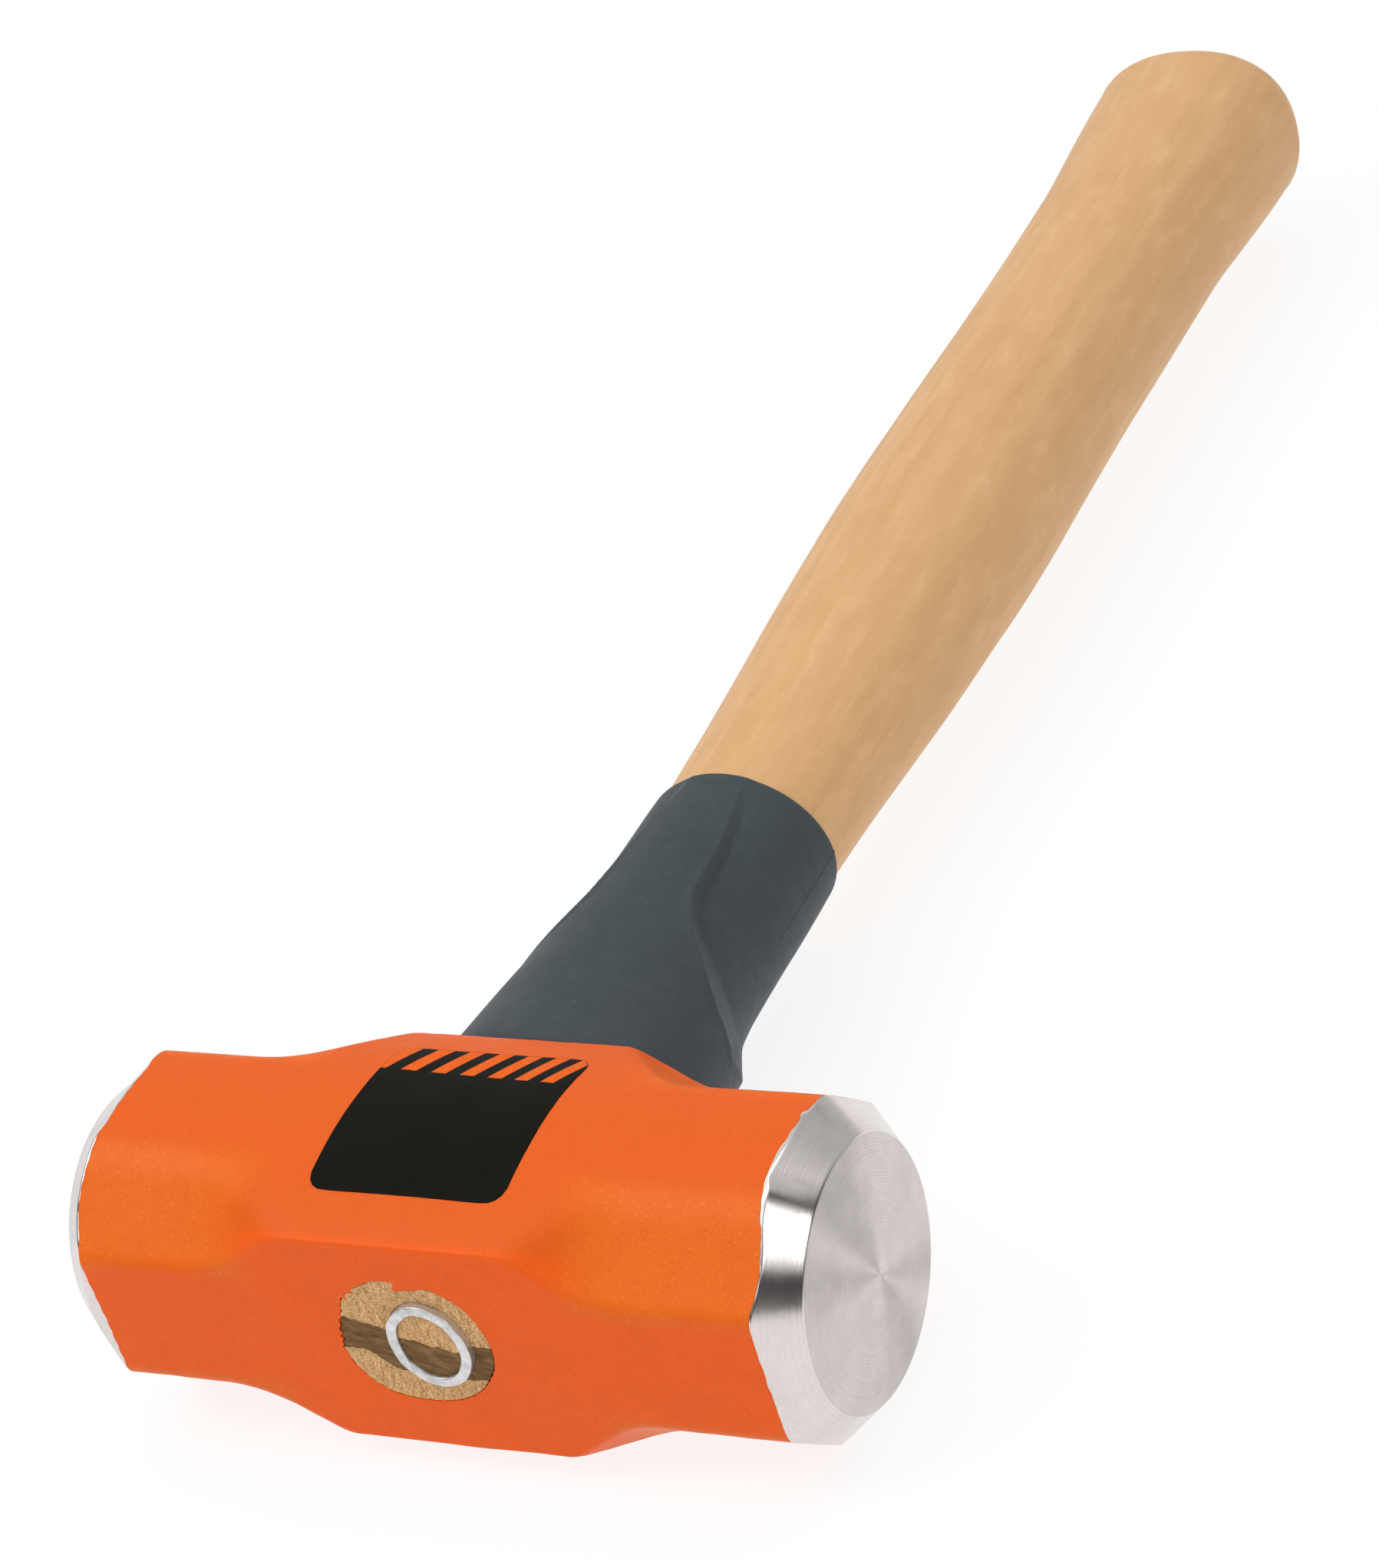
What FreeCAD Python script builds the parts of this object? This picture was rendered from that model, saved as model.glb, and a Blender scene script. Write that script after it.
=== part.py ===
import FreeCAD, Part
import math
import os
import Sketcher
from FreeCAD import Vector, Placement, Rotation

# Short-handled, double-faced sledge hammer lying on its cheek.
# Working frame of every sub-part before its Placement: the origin is where
# the head axis meets the handle axis, +X runs to one striking face, +Y runs
# from the head to the butt of the handle, +Z is the upper cheek.

doc = FreeCAD.newDocument("hammer")

# --------------------------------------------------------------- dimensions
sheet = doc.addObject("Spreadsheet::Sheet", "Dims")
rows = [
    # head
    ("head_length", 112.4, "rim plane to rim plane of the striking faces"),
    ("face_crown", 1.6, "height of the crowned face above its rim"),
    ("face_radius", 18.2, "radius of the striking face"),
    ("face_chamfer_deg", 45.0, "angle of the turned cone behind each face"),
    ("cheek_height", 22.0, "head axis to the crown of a cheek"),
    ("cheek_crown_radius", 52.8, "radius of the cheek crown"),
    ("side_half", 21.1, "head axis to the flat sides that carry the eye"),
    ("bevel_half", 22.25, "head axis to the 45 degree bevels of the ends"),
    ("bevel_top", 31.0, "height at which the bevel run-out leaves the head"),
    ("left_foot", 29.9, "where the left bevel starts to run out"),
    ("left_slope_deg", 23.0, "run-out angle of the left bevels"),
    ("left_blend", 28.0, "radius at the foot of the left run-out"),
    ("right_foot", 27.6, "where the right bevel starts to run out"),
    ("right_slope_deg", 27.5, "run-out angle of the right bevels"),
    ("right_blend", 17.0, "radius at the foot of the right run-out"),
    # eye and tenon
    ("eye_x", -1.1, "eye centre along the head"),
    ("eye_z", 0.9, "eye centre across the head"),
    ("eye_a", 11.75, "eye half length"),
    ("eye_b", 10.5, "eye half width"),
    ("tenon_recess", 0.1, "end grain below the side of the head"),
    # cross wedge
    ("wedge_depth", 28.0, "depth the wooden wedge is driven"),
    ("wedge_thick", 6.0, "wedge thickness at the end grain"),
    ("wedge_tip", 1.0, "wedge thickness at its tip"),
    ("wedge_z", -0.5, "wedge centre off the eye's middle"),
    ("wedge_tilt_deg", 9.0, "turn of the wedge about the handle axis"),
    # ring wedge
    ("ring_x", 1.65, "ring wedge centre along the head"),
    ("ring_z", 1.2, "ring wedge centre across the head"),
    ("ring_outer_x", 6.05, "outer half width of the oval ring wedge"),
    ("ring_outer_z", 7.0, "outer half height of the ring wedge"),
    ("ring_inner_x", 4.5, "inner half width of the ring wedge"),
    ("ring_inner_z", 5.5, "inner half height of the ring wedge"),
    ("ring_depth", 13.0, "length of the ring wedge"),
    ("ring_proud", 1.0, "ring wedge end above the side of the head"),
    # handle
    ("neck_a0", 14.6, "neck half width at the head"),
    ("neck_b0", 12.9, "neck half depth at the head"),
    ("rim_y", 88.0, "head axis to the rim of the guard"),
    ("neck_a1", 14.25, "neck half width at the rim"),
    ("neck_b1", 12.6, "neck half depth at the rim"),
    ("butt_y", 300.4, "head axis to the end of the handle"),
    ("butt_round", 8.0, "rounding of the butt"),
    # guard
    ("guard_edge", 0.8, "bevel around the guard's rim"),
    # label
    ("label_half_x", 15.0, "label half length"),
    ("label_y0", -13.9, "label edge towards the eye face"),
    ("label_y1", 14.9, "label edge towards the handle"),
    ("label_corner", 2.6, "label corner radius"),
    ("label_thick", 0.12, "label thickness"),
]
# handle stations beyond the rim: y, half width, half depth
grip = [
    (88.0, 14.25, 12.6), (109.0, 15.25, 13.3), (130.0, 16.4, 14.3),
    (151.0, 17.15, 15.0), (172.0, 17.5, 15.35), (193.0, 17.3, 15.15),
    (214.0, 17.1, 14.95), (236.0, 17.1, 15.0), (257.0, 17.35, 15.15),
    (278.0, 18.2, 15.9), (300.4, 18.6, 16.25),
]
# guard stations: y, half width, half depth
guard = [
    (21.1, 21.0, 17.4), (29.0, 20.2, 17.1), (38.0, 18.9, 16.5),
    (47.0, 17.4, 15.5), (56.0, 16.3, 14.6), (68.0, 15.8, 14.15),
    (87.0, 15.65, 14.0),
]
for i, (y, a, b) in enumerate(grip):
    rows += [("grip_y_%s" % "abcdefghijk"[i], y, "grip station"),
             ("grip_w_%s" % "abcdefghijk"[i], a, "half width there"),
             ("grip_d_%s" % "abcdefghijk"[i], b, "half depth there")]
for i, (y, a, b) in enumerate(guard):
    rows += [("guard_y_%s" % "abcdefg"[i], y, "guard station"),
             ("guard_w_%s" % "abcdefg"[i], a, "half width there"),
             ("guard_d_%s" % "abcdefg"[i], b, "half depth there")]
V = {}
for n, (alias, value, note) in enumerate(rows, start=1):
    sheet.set("A%d" % n, alias)
    sheet.set("B%d" % n, str(value))
    sheet.set("C%d" % n, note)
    sheet.setAlias("B%d" % n, alias)
    V[alias] = value
doc.recompute()


# ------------------------------------------------------------------ helpers
def new_body(name):
    body = doc.addObject("PartDesign::Body", name)
    body.Label = name
    return body


def plane_of(body, role):
    for feature in body.Origin.OriginFeatures:
        if feature.Role == role:
            return feature
    raise ValueError(role)


def new_sketch(body, name, role, offset=None, expressions=()):
    sk = body.newObject("Sketcher::SketchObject", name)
    sk.AttachmentSupport = [(plane_of(body, role), "")]
    sk.MapMode = "FlatFace"
    if offset is not None:
        sk.AttachmentOffset = offset
    for path, text in expressions:
        sk.setExpression(path, text)
    return sk


def bind(sk, constraint, name, text):
    index = sk.addConstraint(constraint)
    sk.renameConstraint(index, name)
    sk.setExpression("Constraints." + name, text)
    return index


def ellipse(sk, cx, cy, a, b, tags):
    """Ellipse with level and upright axes; tags give the expressions."""
    level = a >= b
    ends = ((Vector(cx + a, cy, 0), Vector(cx, cy + b, 0)) if level
            else (Vector(cx, cy + b, 0), Vector(cx - a, cy, 0)))
    g = sk.addGeometry(Part.Ellipse(ends[0], ends[1], Vector(cx, cy, 0)), False)
    sk.exposeInternalGeometry(g)
    wide, high = (g + 1, g + 2) if level else (g + 2, g + 1)
    sk.addConstraint(Sketcher.Constraint("Horizontal", wide))
    bind(sk, Sketcher.Constraint("Distance", wide, 2 * a), "wide%d" % g, "2*" + tags[0])
    bind(sk, Sketcher.Constraint("Distance", high, 2 * b), "high%d" % g, "2*" + tags[1])
    if len(tags) > 2:
        bind(sk, Sketcher.Constraint("DistanceX", -1, 1, g, 3, cx), "cx%d" % g, tags[2])
        bind(sk, Sketcher.Constraint("DistanceY", -1, 1, g, 3, cy), "cy%d" % g, tags[3])
    else:
        sk.addConstraint(Sketcher.Constraint("Coincident", g, 3, -1, 1))
    return g


def at_y(text):
    """Offset of a sketch on XZ_Plane, whose normal is -Y."""
    return ((".AttachmentOffset.Base.z", "-(%s)" % text),)


def add_arc(sk, c, r, p, q):
    """Shorter arc about c between p and q; returns it and the end that lies at p."""
    a, b = (math.atan2(v.y - c.y, v.x - c.x) for v in (p, q))
    turn_left = (b - a) % (2 * math.pi) < math.pi
    if not turn_left:
        a, b = b, a
    if b < a:
        b += 2 * math.pi
    g = sk.addGeometry(Part.ArcOfCircle(Part.Circle(c, Vector(0, 0, 1), r), a, b), False)
    return g, 1 if turn_left else 2


def polygon(sk, points):
    """Closed polygon; returns the index of its first side."""
    first = None
    for k in range(len(points)):
        p, q = points[k], points[(k + 1) % len(points)]
        g = sk.addGeometry(Part.LineSegment(Vector(p[0], p[1], 0), Vector(q[0], q[1], 0)), False)
        first = g if first is None else first
    for k in range(len(points)):
        sk.addConstraint(Sketcher.Constraint("Coincident", first + k, 2,
                                             first + (k + 1) % len(points), 1))
    return first


def pad(body, name, sk, text, value, symmetric=False, reverse=False):
    f = body.newObject("PartDesign::Pad", name)
    f.Profile = sk
    f.Length = value
    f.setExpression("Length", text)
    if symmetric:
        f.SideType = "Symmetric"
    f.Reversed = reverse
    doc.recompute()
    return f


def pocket(body, name, sk, text, value, symmetric=True, reverse=False):
    doc.recompute()
    before = body.Shape.Volume
    f = body.newObject("PartDesign::Pocket", name)
    f.Profile = sk
    f.Length = value
    f.setExpression("Length", text)
    if symmetric:
        f.SideType = "Symmetric"
    f.Reversed = reverse
    doc.recompute()
    if not body.Shape.Volume < before - 0.01:
        raise RuntimeError(name + " removes nothing")
    return f


def loft(body, name, kind, sketches, ruled=False):
    f = body.newObject(kind, name)
    f.Profile = sketches[0]
    f.Sections = sketches[1:]
    f.Ruled = ruled
    doc.recompute()
    return f


def ring_sketch(body, name, expressions):
    sk = new_sketch(body, name, "XZ_Plane", None, expressions)
    for tag in ("outer", "inner"):
        ellipse(sk, V["ring_x"], V["ring_z"], V["ring_%s_x" % tag], V["ring_%s_z" % tag],
                ("Dims.ring_%s_x" % tag, "Dims.ring_%s_z" % tag, "Dims.ring_x", "Dims.ring_z"))
    return sk


# --------------------------------------------------------------------- head
head = new_body("hammer_head")

# Cross-section of the bar: flat sides, crowned cheeks.
sk = new_sketch(head, "bar_section", "YZ_Plane")
R, az, ay = V["cheek_crown_radius"], V["cheek_height"], V["side_half"]
zc = math.sqrt(R * R - ay * ay) - (R - az)
ang = math.asin(ay / R)
g0 = sk.addGeometry(Part.LineSegment(Vector(-ay, zc, 0), Vector(-ay, -zc, 0)), False)
g1 = sk.addGeometry(Part.ArcOfCircle(Part.Circle(Vector(0, R - az, 0), Vector(0, 0, 1), R),
                                     1.5 * math.pi - ang, 1.5 * math.pi + ang), False)
g2 = sk.addGeometry(Part.LineSegment(Vector(ay, -zc, 0), Vector(ay, zc, 0)), False)
g3 = sk.addGeometry(Part.ArcOfCircle(Part.Circle(Vector(0, az - R, 0), Vector(0, 0, 1), R),
                                     0.5 * math.pi - ang, 0.5 * math.pi + ang), False)
for a, ap, b, bp in ((g0, 2, g1, 1), (g1, 2, g2, 1), (g2, 2, g3, 1), (g3, 2, g0, 1)):
    sk.addConstraint(Sketcher.Constraint("Coincident", a, ap, b, bp))
sk.addConstraint(Sketcher.Constraint("Vertical", g0))
sk.addConstraint(Sketcher.Constraint("Vertical", g2))
sk.addConstraint(Sketcher.Constraint("PointOnObject", g1, 3, -2))
sk.addConstraint(Sketcher.Constraint("PointOnObject", g3, 3, -2))
bind(sk, Sketcher.Constraint("DistanceX", g0, 1, -1, 1, ay), "side_a", "Dims.side_half")
bind(sk, Sketcher.Constraint("DistanceX", -1, 1, g2, 1, ay), "side_b", "Dims.side_half")
bind(sk, Sketcher.Constraint("Radius", g1, R), "crown_a", "Dims.cheek_crown_radius")
bind(sk, Sketcher.Constraint("Radius", g3, R), "crown_b", "Dims.cheek_crown_radius")
bind(sk, Sketcher.Constraint("DistanceY", -1, 1, g1, 3, R - az), "low",
     "Dims.cheek_crown_radius - Dims.cheek_height")
bind(sk, Sketcher.Constraint("DistanceY", g3, 3, -1, 1, R - az), "high",
     "Dims.cheek_crown_radius - Dims.cheek_height")
pad(head, "bar", sk, "Dims.head_length + 8", V["head_length"] + 8, symmetric=True)


def runout(sk, sx, su, side, tag):
    """What leaves the corner between the head's end and the middle block."""
    q, top = V["bevel_half"], V["bevel_top"]
    ang = math.radians(V[side + "_slope_deg"])
    foot, r = V[side + "_foot"], V[side + "_blend"]
    far = V["head_length"] / 2 + 6
    t = r * math.tan(ang / 2)
    p0 = Vector(sx * far, su * q, 0)
    p1 = Vector(sx * (foot + t), su * q, 0)
    p2 = Vector(sx * (foot - t * math.cos(ang)), su * (q + t * math.sin(ang)), 0)
    p3 = Vector(sx * (foot - (top - q) / math.tan(ang)), su * top, 0)
    p4 = Vector(sx * far, su * top, 0)
    c = Vector(sx * (foot + t), su * (q + r), 0)
    l1 = sk.addGeometry(Part.LineSegment(p0, p1), False)
    arc, first = add_arc(sk, c, r, p1, p2)
    l2 = sk.addGeometry(Part.LineSegment(p2, p3), False)
    l3 = sk.addGeometry(Part.LineSegment(p3, p4), False)
    l4 = sk.addGeometry(Part.LineSegment(p4, p0), False)
    sk.addConstraint(Sketcher.Constraint("Tangent", l1, 2, arc, first))
    sk.addConstraint(Sketcher.Constraint("Tangent", arc, 3 - first, l2, 1))
    sk.addConstraint(Sketcher.Constraint("Coincident", l2, 2, l3, 1))
    sk.addConstraint(Sketcher.Constraint("Coincident", l3, 2, l4, 1))
    sk.addConstraint(Sketcher.Constraint("Coincident", l4, 2, l1, 1))
    sk.addConstraint(Sketcher.Constraint("Horizontal", l1))
    sk.addConstraint(Sketcher.Constraint("Horizontal", l3))
    sk.addConstraint(Sketcher.Constraint("Vertical", l4))

    def along_x(g, p, text, value, name):
        pair = (-1, 1, g, p) if sx > 0 else (g, p, -1, 1)
        bind(sk, Sketcher.Constraint("DistanceX", *pair, value), name + tag, text)

    def along_u(g, p, text, value, name):
        pair = (-1, 1, g, p) if su > 0 else (g, p, -1, 1)
        bind(sk, Sketcher.Constraint("DistanceY", *pair, value), name + tag, text)

    along_x(l1, 1, "Dims.head_length / 2 + 6", far, "far")
    along_u(l1, 1, "Dims.bevel_half", q, "half")
    along_u(l3, 1, "Dims.bevel_top", top, "top")
    along_x(l3, 1, "Dims.%s_foot - (Dims.bevel_top - Dims.bevel_half) / tan(Dims.%s_slope_deg * 1 deg)"
            % (side, side), abs(p3.x), "run")
    bind(sk, Sketcher.Constraint("Radius", arc, r), "blend" + tag, "Dims.%s_blend" % side)


for name, turn in (("bevels_a", 45.0), ("bevels_b", -45.0)):
    sk = new_sketch(head, name, "XY_Plane",
                    Placement(Vector(0, 0, 0), Rotation(Vector(1, 0, 0), turn)))
    for k, (sx, su, side) in enumerate(((1, 1, "right"), (1, -1, "right"),
                                        (-1, 1, "left"), (-1, -1, "left"))):
        runout(sk, sx, su, side, "abcd"[k])
    # the foot of each run-out is closed by its slope
    for k in range(4):
        l2 = 5 * k + 2
        p, q = sk.Geometry[l2].StartPoint, sk.Geometry[l2].EndPoint
        side = ("right", "right", "left", "left")[k]
        value = abs(q.y - p.y) / math.sin(math.radians(V[side + "_slope_deg"]))
        bind(sk, Sketcher.Constraint("Distance", l2, value), "slope" + "abcd"[k],
             "(Dims.bevel_top - Dims.bevel_half - Dims.%s_blend * (1 - cos(Dims.%s_slope_deg * 1 deg)))"
             " / sin(Dims.%s_slope_deg * 1 deg)" % (side, side, side))
    pocket(head, name + "_cut", sk, "Dims.head_length", V["head_length"])

# Turned ends: crowned striking face and the cone behind it.
sk = new_sketch(head, "turned_ends", "XZ_Plane")
half, crown, rf = V["head_length"] / 2, V["face_crown"], V["face_radius"]
big = 33.0
cone = (big - rf) / math.tan(math.radians(V["face_chamfer_deg"]))
for sx, tag in ((1, "r"), (-1, "l")):
    rc = (rf * rf + crown * crown) / (2 * crown)
    apex, rim = Vector(sx * (half + crown), 0, 0), Vector(sx * half, rf, 0)
    c = Vector(sx * (half + crown - rc), 0, 0)
    pts = [rim, Vector(sx * (half - cone), big, 0), Vector(sx * (half + 8), big, 0),
           Vector(sx * (half + 8), 0, 0), apex]
    lines = [sk.addGeometry(Part.LineSegment(pts[k], pts[k + 1]), False) for k in range(4)]
    arc, start = add_arc(sk, c, rc, apex, rim)
    for k in range(3):
        sk.addConstraint(Sketcher.Constraint("Coincident", lines[k], 2, lines[k + 1], 1))
    sk.addConstraint(Sketcher.Constraint("Coincident", lines[3], 2, arc, start))
    sk.addConstraint(Sketcher.Constraint("Coincident", lines[0], 1, arc, 3 - start))
    sk.addConstraint(Sketcher.Constraint("Horizontal", lines[1]))
    sk.addConstraint(Sketcher.Constraint("Vertical", lines[2]))
    sk.addConstraint(Sketcher.Constraint("PointOnObject", lines[2], 2, -1))
    sk.addConstraint(Sketcher.Constraint("PointOnObject", arc, start, -1))
    sk.addConstraint(Sketcher.Constraint("PointOnObject", arc, 3, -1))

    def along(g, p, value, name, text):
        pair = (-1, 1, g, p) if sx > 0 else (g, p, -1, 1)
        bind(sk, Sketcher.Constraint("DistanceX", *pair, value), name + tag, text)

    along(lines[0], 1, half, "rim_x", "Dims.head_length / 2")
    along(arc, start, half + crown, "apex_x", "Dims.head_length / 2 + Dims.face_crown")
    along(lines[1], 2, half + 8, "clear_x", "Dims.head_length / 2 + 8")
    along(lines[0], 2, half - cone, "cone_x",
          "Dims.head_length / 2 - (33 - Dims.face_radius) / tan(Dims.face_chamfer_deg * 1 deg)")
    bind(sk, Sketcher.Constraint("DistanceY", -1, 1, lines[0], 1, rf), "rim_r" + tag,
         "Dims.face_radius")
    bind(sk, Sketcher.Constraint("DistanceY", -1, 1, lines[0], 2, big), "big_r" + tag, "33")
before = head.Shape.Volume
turn = head.newObject("PartDesign::Groove", "turned_ends_cut")
turn.Profile = sk
turn.ReferenceAxis = (sk, ["H_Axis"])
turn.Angle = 360.0
doc.recompute()
if not head.Shape.Volume < before - 1:
    raise RuntimeError("the turned ends remove nothing")

# Eye, through the two flat sides.
sk = new_sketch(head, "eye", "XZ_Plane")
ellipse(sk, V["eye_x"], V["eye_z"], V["eye_a"], V["eye_b"],
        ("Dims.eye_a", "Dims.eye_b", "Dims.eye_x", "Dims.eye_z"))
pocket(head, "eye_cut", sk, "4 * Dims.side_half", 4 * ay)

# ------------------------------------------------------------------- handle
handle = new_body("wooden_handle")
sk = new_sketch(handle, "tenon", "XZ_Plane", None, at_y("Dims.side_half"))
ellipse(sk, V["eye_x"], V["eye_z"], V["eye_a"], V["eye_b"],
        ("Dims.eye_a", "Dims.eye_b", "Dims.eye_x", "Dims.eye_z"))
pad(handle, "tenon_pad", sk, "2 * Dims.side_half - Dims.tenon_recess",
    2 * ay - V["tenon_recess"])

neck = []
for name, a, b, y in (("neck_low", "neck_a0", "neck_b0", "Dims.side_half"),
                      ("neck_high", "neck_a1", "neck_b1", "Dims.rim_y")):
    s = new_sketch(handle, name, "XZ_Plane", None, at_y(y))
    ellipse(s, 0, 0, V[a], V[b], ("Dims." + a, "Dims." + b))
    neck.append(s)
doc.recompute()
loft(handle, "neck", "PartDesign::AdditiveLoft", neck, ruled=True)
stations = []
for i in range(len(grip)):
    c = "abcdefghijk"[i]
    s = new_sketch(handle, "grip_" + c, "XZ_Plane", None, at_y("Dims.grip_y_" + c))
    ellipse(s, 0, 0, V["grip_w_" + c], V["grip_d_" + c], ("Dims.grip_w_" + c, "Dims.grip_d_" + c))
    stations.append(s)
doc.recompute()
loft(handle, "grip", "PartDesign::AdditiveLoft", stations)

# Rounded butt.
end = None
for i, e in enumerate(handle.Shape.Edges):
    box = e.BoundBox
    if abs(box.YMin - V["butt_y"]) < 1e-3 and abs(box.YMax - V["butt_y"]) < 1e-3:
        end = "Edge%d" % (i + 1)
butt = handle.newObject("PartDesign::Fillet", "butt_rounding")
butt.Base = (handle.getObject("grip") if hasattr(handle, "getObject") else doc.getObject("grip"), [end])
butt.Radius = V["butt_round"]
butt.setExpression("Radius", "Dims.butt_round")
doc.recompute()

# Kerf for the wooden wedge, across the tenon.
ends = V["side_half"] - V["tenon_recess"]


def kerf_outline(sk, grow):
    """Trapezoid in Y and Z that the wedge fills; grow lengthens its open end."""
    y0 = -ends - grow
    deep = -ends + V["wedge_depth"]
    slope = (V["wedge_thick"] - V["wedge_tip"]) / 2 / V["wedge_depth"]
    h0, h1 = V["wedge_thick"] / 2 + slope * grow, V["wedge_tip"] / 2
    wz = V["wedge_z"]
    return [(y0, wz + h0), (y0, wz - h0), (deep, wz - h1), (deep, wz + h1)]


def bind_kerf(sk, first, grow):
    sk.addConstraint(Sketcher.Constraint("Vertical", first))
    sk.addConstraint(Sketcher.Constraint("Vertical", first + 2))
    tip = "Dims.wedge_tip / 2"
    open_half = ("(Dims.wedge_thick / 2 + (Dims.wedge_thick - Dims.wedge_tip) / 2"
                 " / Dims.wedge_depth * %s)" % grow)
    pts = kerf_outline(sk, float(grow))
    bind(sk, Sketcher.Constraint("DistanceX", first, 1, -1, 1, -pts[0][0]), "open_y",
         "Dims.side_half - Dims.tenon_recess + %s" % grow)
    bind(sk, Sketcher.Constraint("DistanceX", -1, 1, first + 2, 1, pts[2][0]), "tip_y",
         "Dims.wedge_depth - Dims.side_half + Dims.tenon_recess")
    bind(sk, Sketcher.Constraint("DistanceY", -1, 1, first, 1, pts[0][1]), "open_top",
         "Dims.wedge_z + " + open_half)
    bind(sk, Sketcher.Constraint("DistanceY", first, 2, -1, 1, -pts[1][1]), "open_low",
         open_half + " - Dims.wedge_z")
    bind(sk, Sketcher.Constraint("DistanceY", -1, 1, first + 2, 2, pts[3][1]), "tip_top",
         "Dims.wedge_z + " + tip)
    bind(sk, Sketcher.Constraint("DistanceY", first + 2, 1, -1, 1, -pts[2][1]), "tip_low",
         tip + " - Dims.wedge_z")


tilted = (".AttachmentOffset.Rotation.Angle", "Dims.wedge_tilt_deg * 1 deg")
sk = new_sketch(handle, "kerf", "YZ_Plane",
                Placement(Vector(0, 0, 0), Rotation(Vector(1, 0, 0), V["wedge_tilt_deg"])), (tilted,))
bind_kerf(sk, polygon(sk, kerf_outline(sk, 2.0)), "2.0")
pocket(handle, "kerf_cut", sk, "4 * Dims.eye_a", 4 * V["eye_a"])

# Ring-shaped slot that the steel ring wedge cuts for itself.
sk = ring_sketch(handle, "ring_slot", at_y("Dims.ring_depth - Dims.side_half - Dims.ring_proud"))
pocket(handle, "ring_slot_cut", sk, "Dims.ring_depth + 2", V["ring_depth"] + 2,
       symmetric=False, reverse=True)

# -------------------------------------------------------------- cross wedge
wedge = new_body("cross_wedge")
sk = new_sketch(wedge, "wedge_outline", "YZ_Plane",
                Placement(Vector(0, 0, 0), Rotation(Vector(1, 0, 0), V["wedge_tilt_deg"])), (tilted,))
bind_kerf(sk, polygon(sk, kerf_outline(sk, 0.0)), "0.0")
pad(wedge, "wedge_pad", sk, "4 * Dims.eye_a", 4 * V["eye_a"], symmetric=True)
# ends of the wedge follow the wall of the eye
sk = new_sketch(wedge, "eye_wall", "XZ_Plane")
ellipse(sk, V["eye_x"], V["eye_z"], V["eye_a"], V["eye_b"],
        ("Dims.eye_a", "Dims.eye_b", "Dims.eye_x", "Dims.eye_z"))
first = polygon(sk, [(-40, -30), (40, -30), (40, 30), (-40, 30)])
for k, kind in enumerate(("Horizontal", "Vertical", "Horizontal", "Vertical")):
    sk.addConstraint(Sketcher.Constraint(kind, first + k))
bind(sk, Sketcher.Constraint("DistanceX", first, 1, -1, 1, 40), "wall_x0", "40")
bind(sk, Sketcher.Constraint("DistanceX", -1, 1, first, 2, 40), "wall_x1", "40")
bind(sk, Sketcher.Constraint("DistanceY", first, 1, -1, 1, 30), "wall_z0", "30")
bind(sk, Sketcher.Constraint("DistanceY", -1, 1, first + 2, 1, 30), "wall_z1", "30")
pocket(wedge, "eye_wall_cut", sk, "4 * Dims.side_half", 4 * ay)
sk = ring_sketch(wedge, "wedge_ring_slot",
                 at_y("Dims.ring_depth - Dims.side_half - Dims.ring_proud"))
pocket(wedge, "wedge_ring_slot_cut", sk, "Dims.ring_depth + 2", V["ring_depth"] + 2,
       symmetric=False, reverse=True)

# --------------------------------------------------------------- ring wedge
ring = new_body("ring_wedge")
sk = ring_sketch(ring, "ring_section", at_y("Dims.ring_depth - Dims.side_half - Dims.ring_proud"))
pad(ring, "ring_pad", sk, "Dims.ring_depth", V["ring_depth"])
edges = []
for i, e in enumerate(ring.Shape.Edges):
    b = e.BoundBox
    if b.YLength < 1e-6 and abs(b.YMin + V["side_half"] + V["ring_proud"]) < 1e-3:
        edges.append("Edge%d" % (i + 1))
soft = ring.newObject("PartDesign::Fillet", "ring_rounding")
soft.Base = (doc.getObject("ring_pad"), edges)
soft.Radius = 0.25
doc.recompute()

# -------------------------------------------------------------------- guard
sleeve = new_body("rubber_guard")
stations = []
for i in range(len(guard)):
    c = "abcdefg"[i]
    s = new_sketch(sleeve, "guard_" + c, "XZ_Plane", None, at_y("Dims.guard_y_" + c))
    ellipse(s, 0, 0, V["guard_w_" + c], V["guard_d_" + c],
            ("Dims.guard_w_" + c, "Dims.guard_d_" + c))
    stations.append(s)
doc.recompute()
loft(sleeve, "guard_outside", "PartDesign::AdditiveLoft", stations)
edge = []
for name, shrink, y in (("rim_low", "0", "Dims.guard_y_g"),
                        ("rim_high", "Dims.guard_edge", "Dims.rim_y")):
    s = new_sketch(sleeve, name, "XZ_Plane", None, at_y(y))
    less = 0.0 if shrink == "0" else V["guard_edge"]
    ellipse(s, 0, 0, V["guard_w_g"] - less, V["guard_d_g"] - less,
            ("(Dims.guard_w_g - %s)" % shrink, "(Dims.guard_d_g - %s)" % shrink))
    edge.append(s)
doc.recompute()
loft(sleeve, "guard_rim", "PartDesign::AdditiveLoft", edge, ruled=True)
inner = []
for name, a, b, y in (("bore_low", "neck_a0", "neck_b0", "Dims.side_half"),
                      ("bore_high", "neck_a1", "neck_b1", "Dims.rim_y")):
    s = new_sketch(sleeve, name, "XZ_Plane", None, at_y(y))
    ellipse(s, 0, 0, V[a], V[b], ("Dims." + a, "Dims." + b))
    inner.append(s)
doc.recompute()
before = sleeve.Shape.Volume
loft(sleeve, "guard_bore", "PartDesign::SubtractiveLoft", inner, ruled=True)
if not sleeve.Shape.Volume < before - 1000:
    raise RuntimeError("the guard's bore removes nothing")

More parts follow.
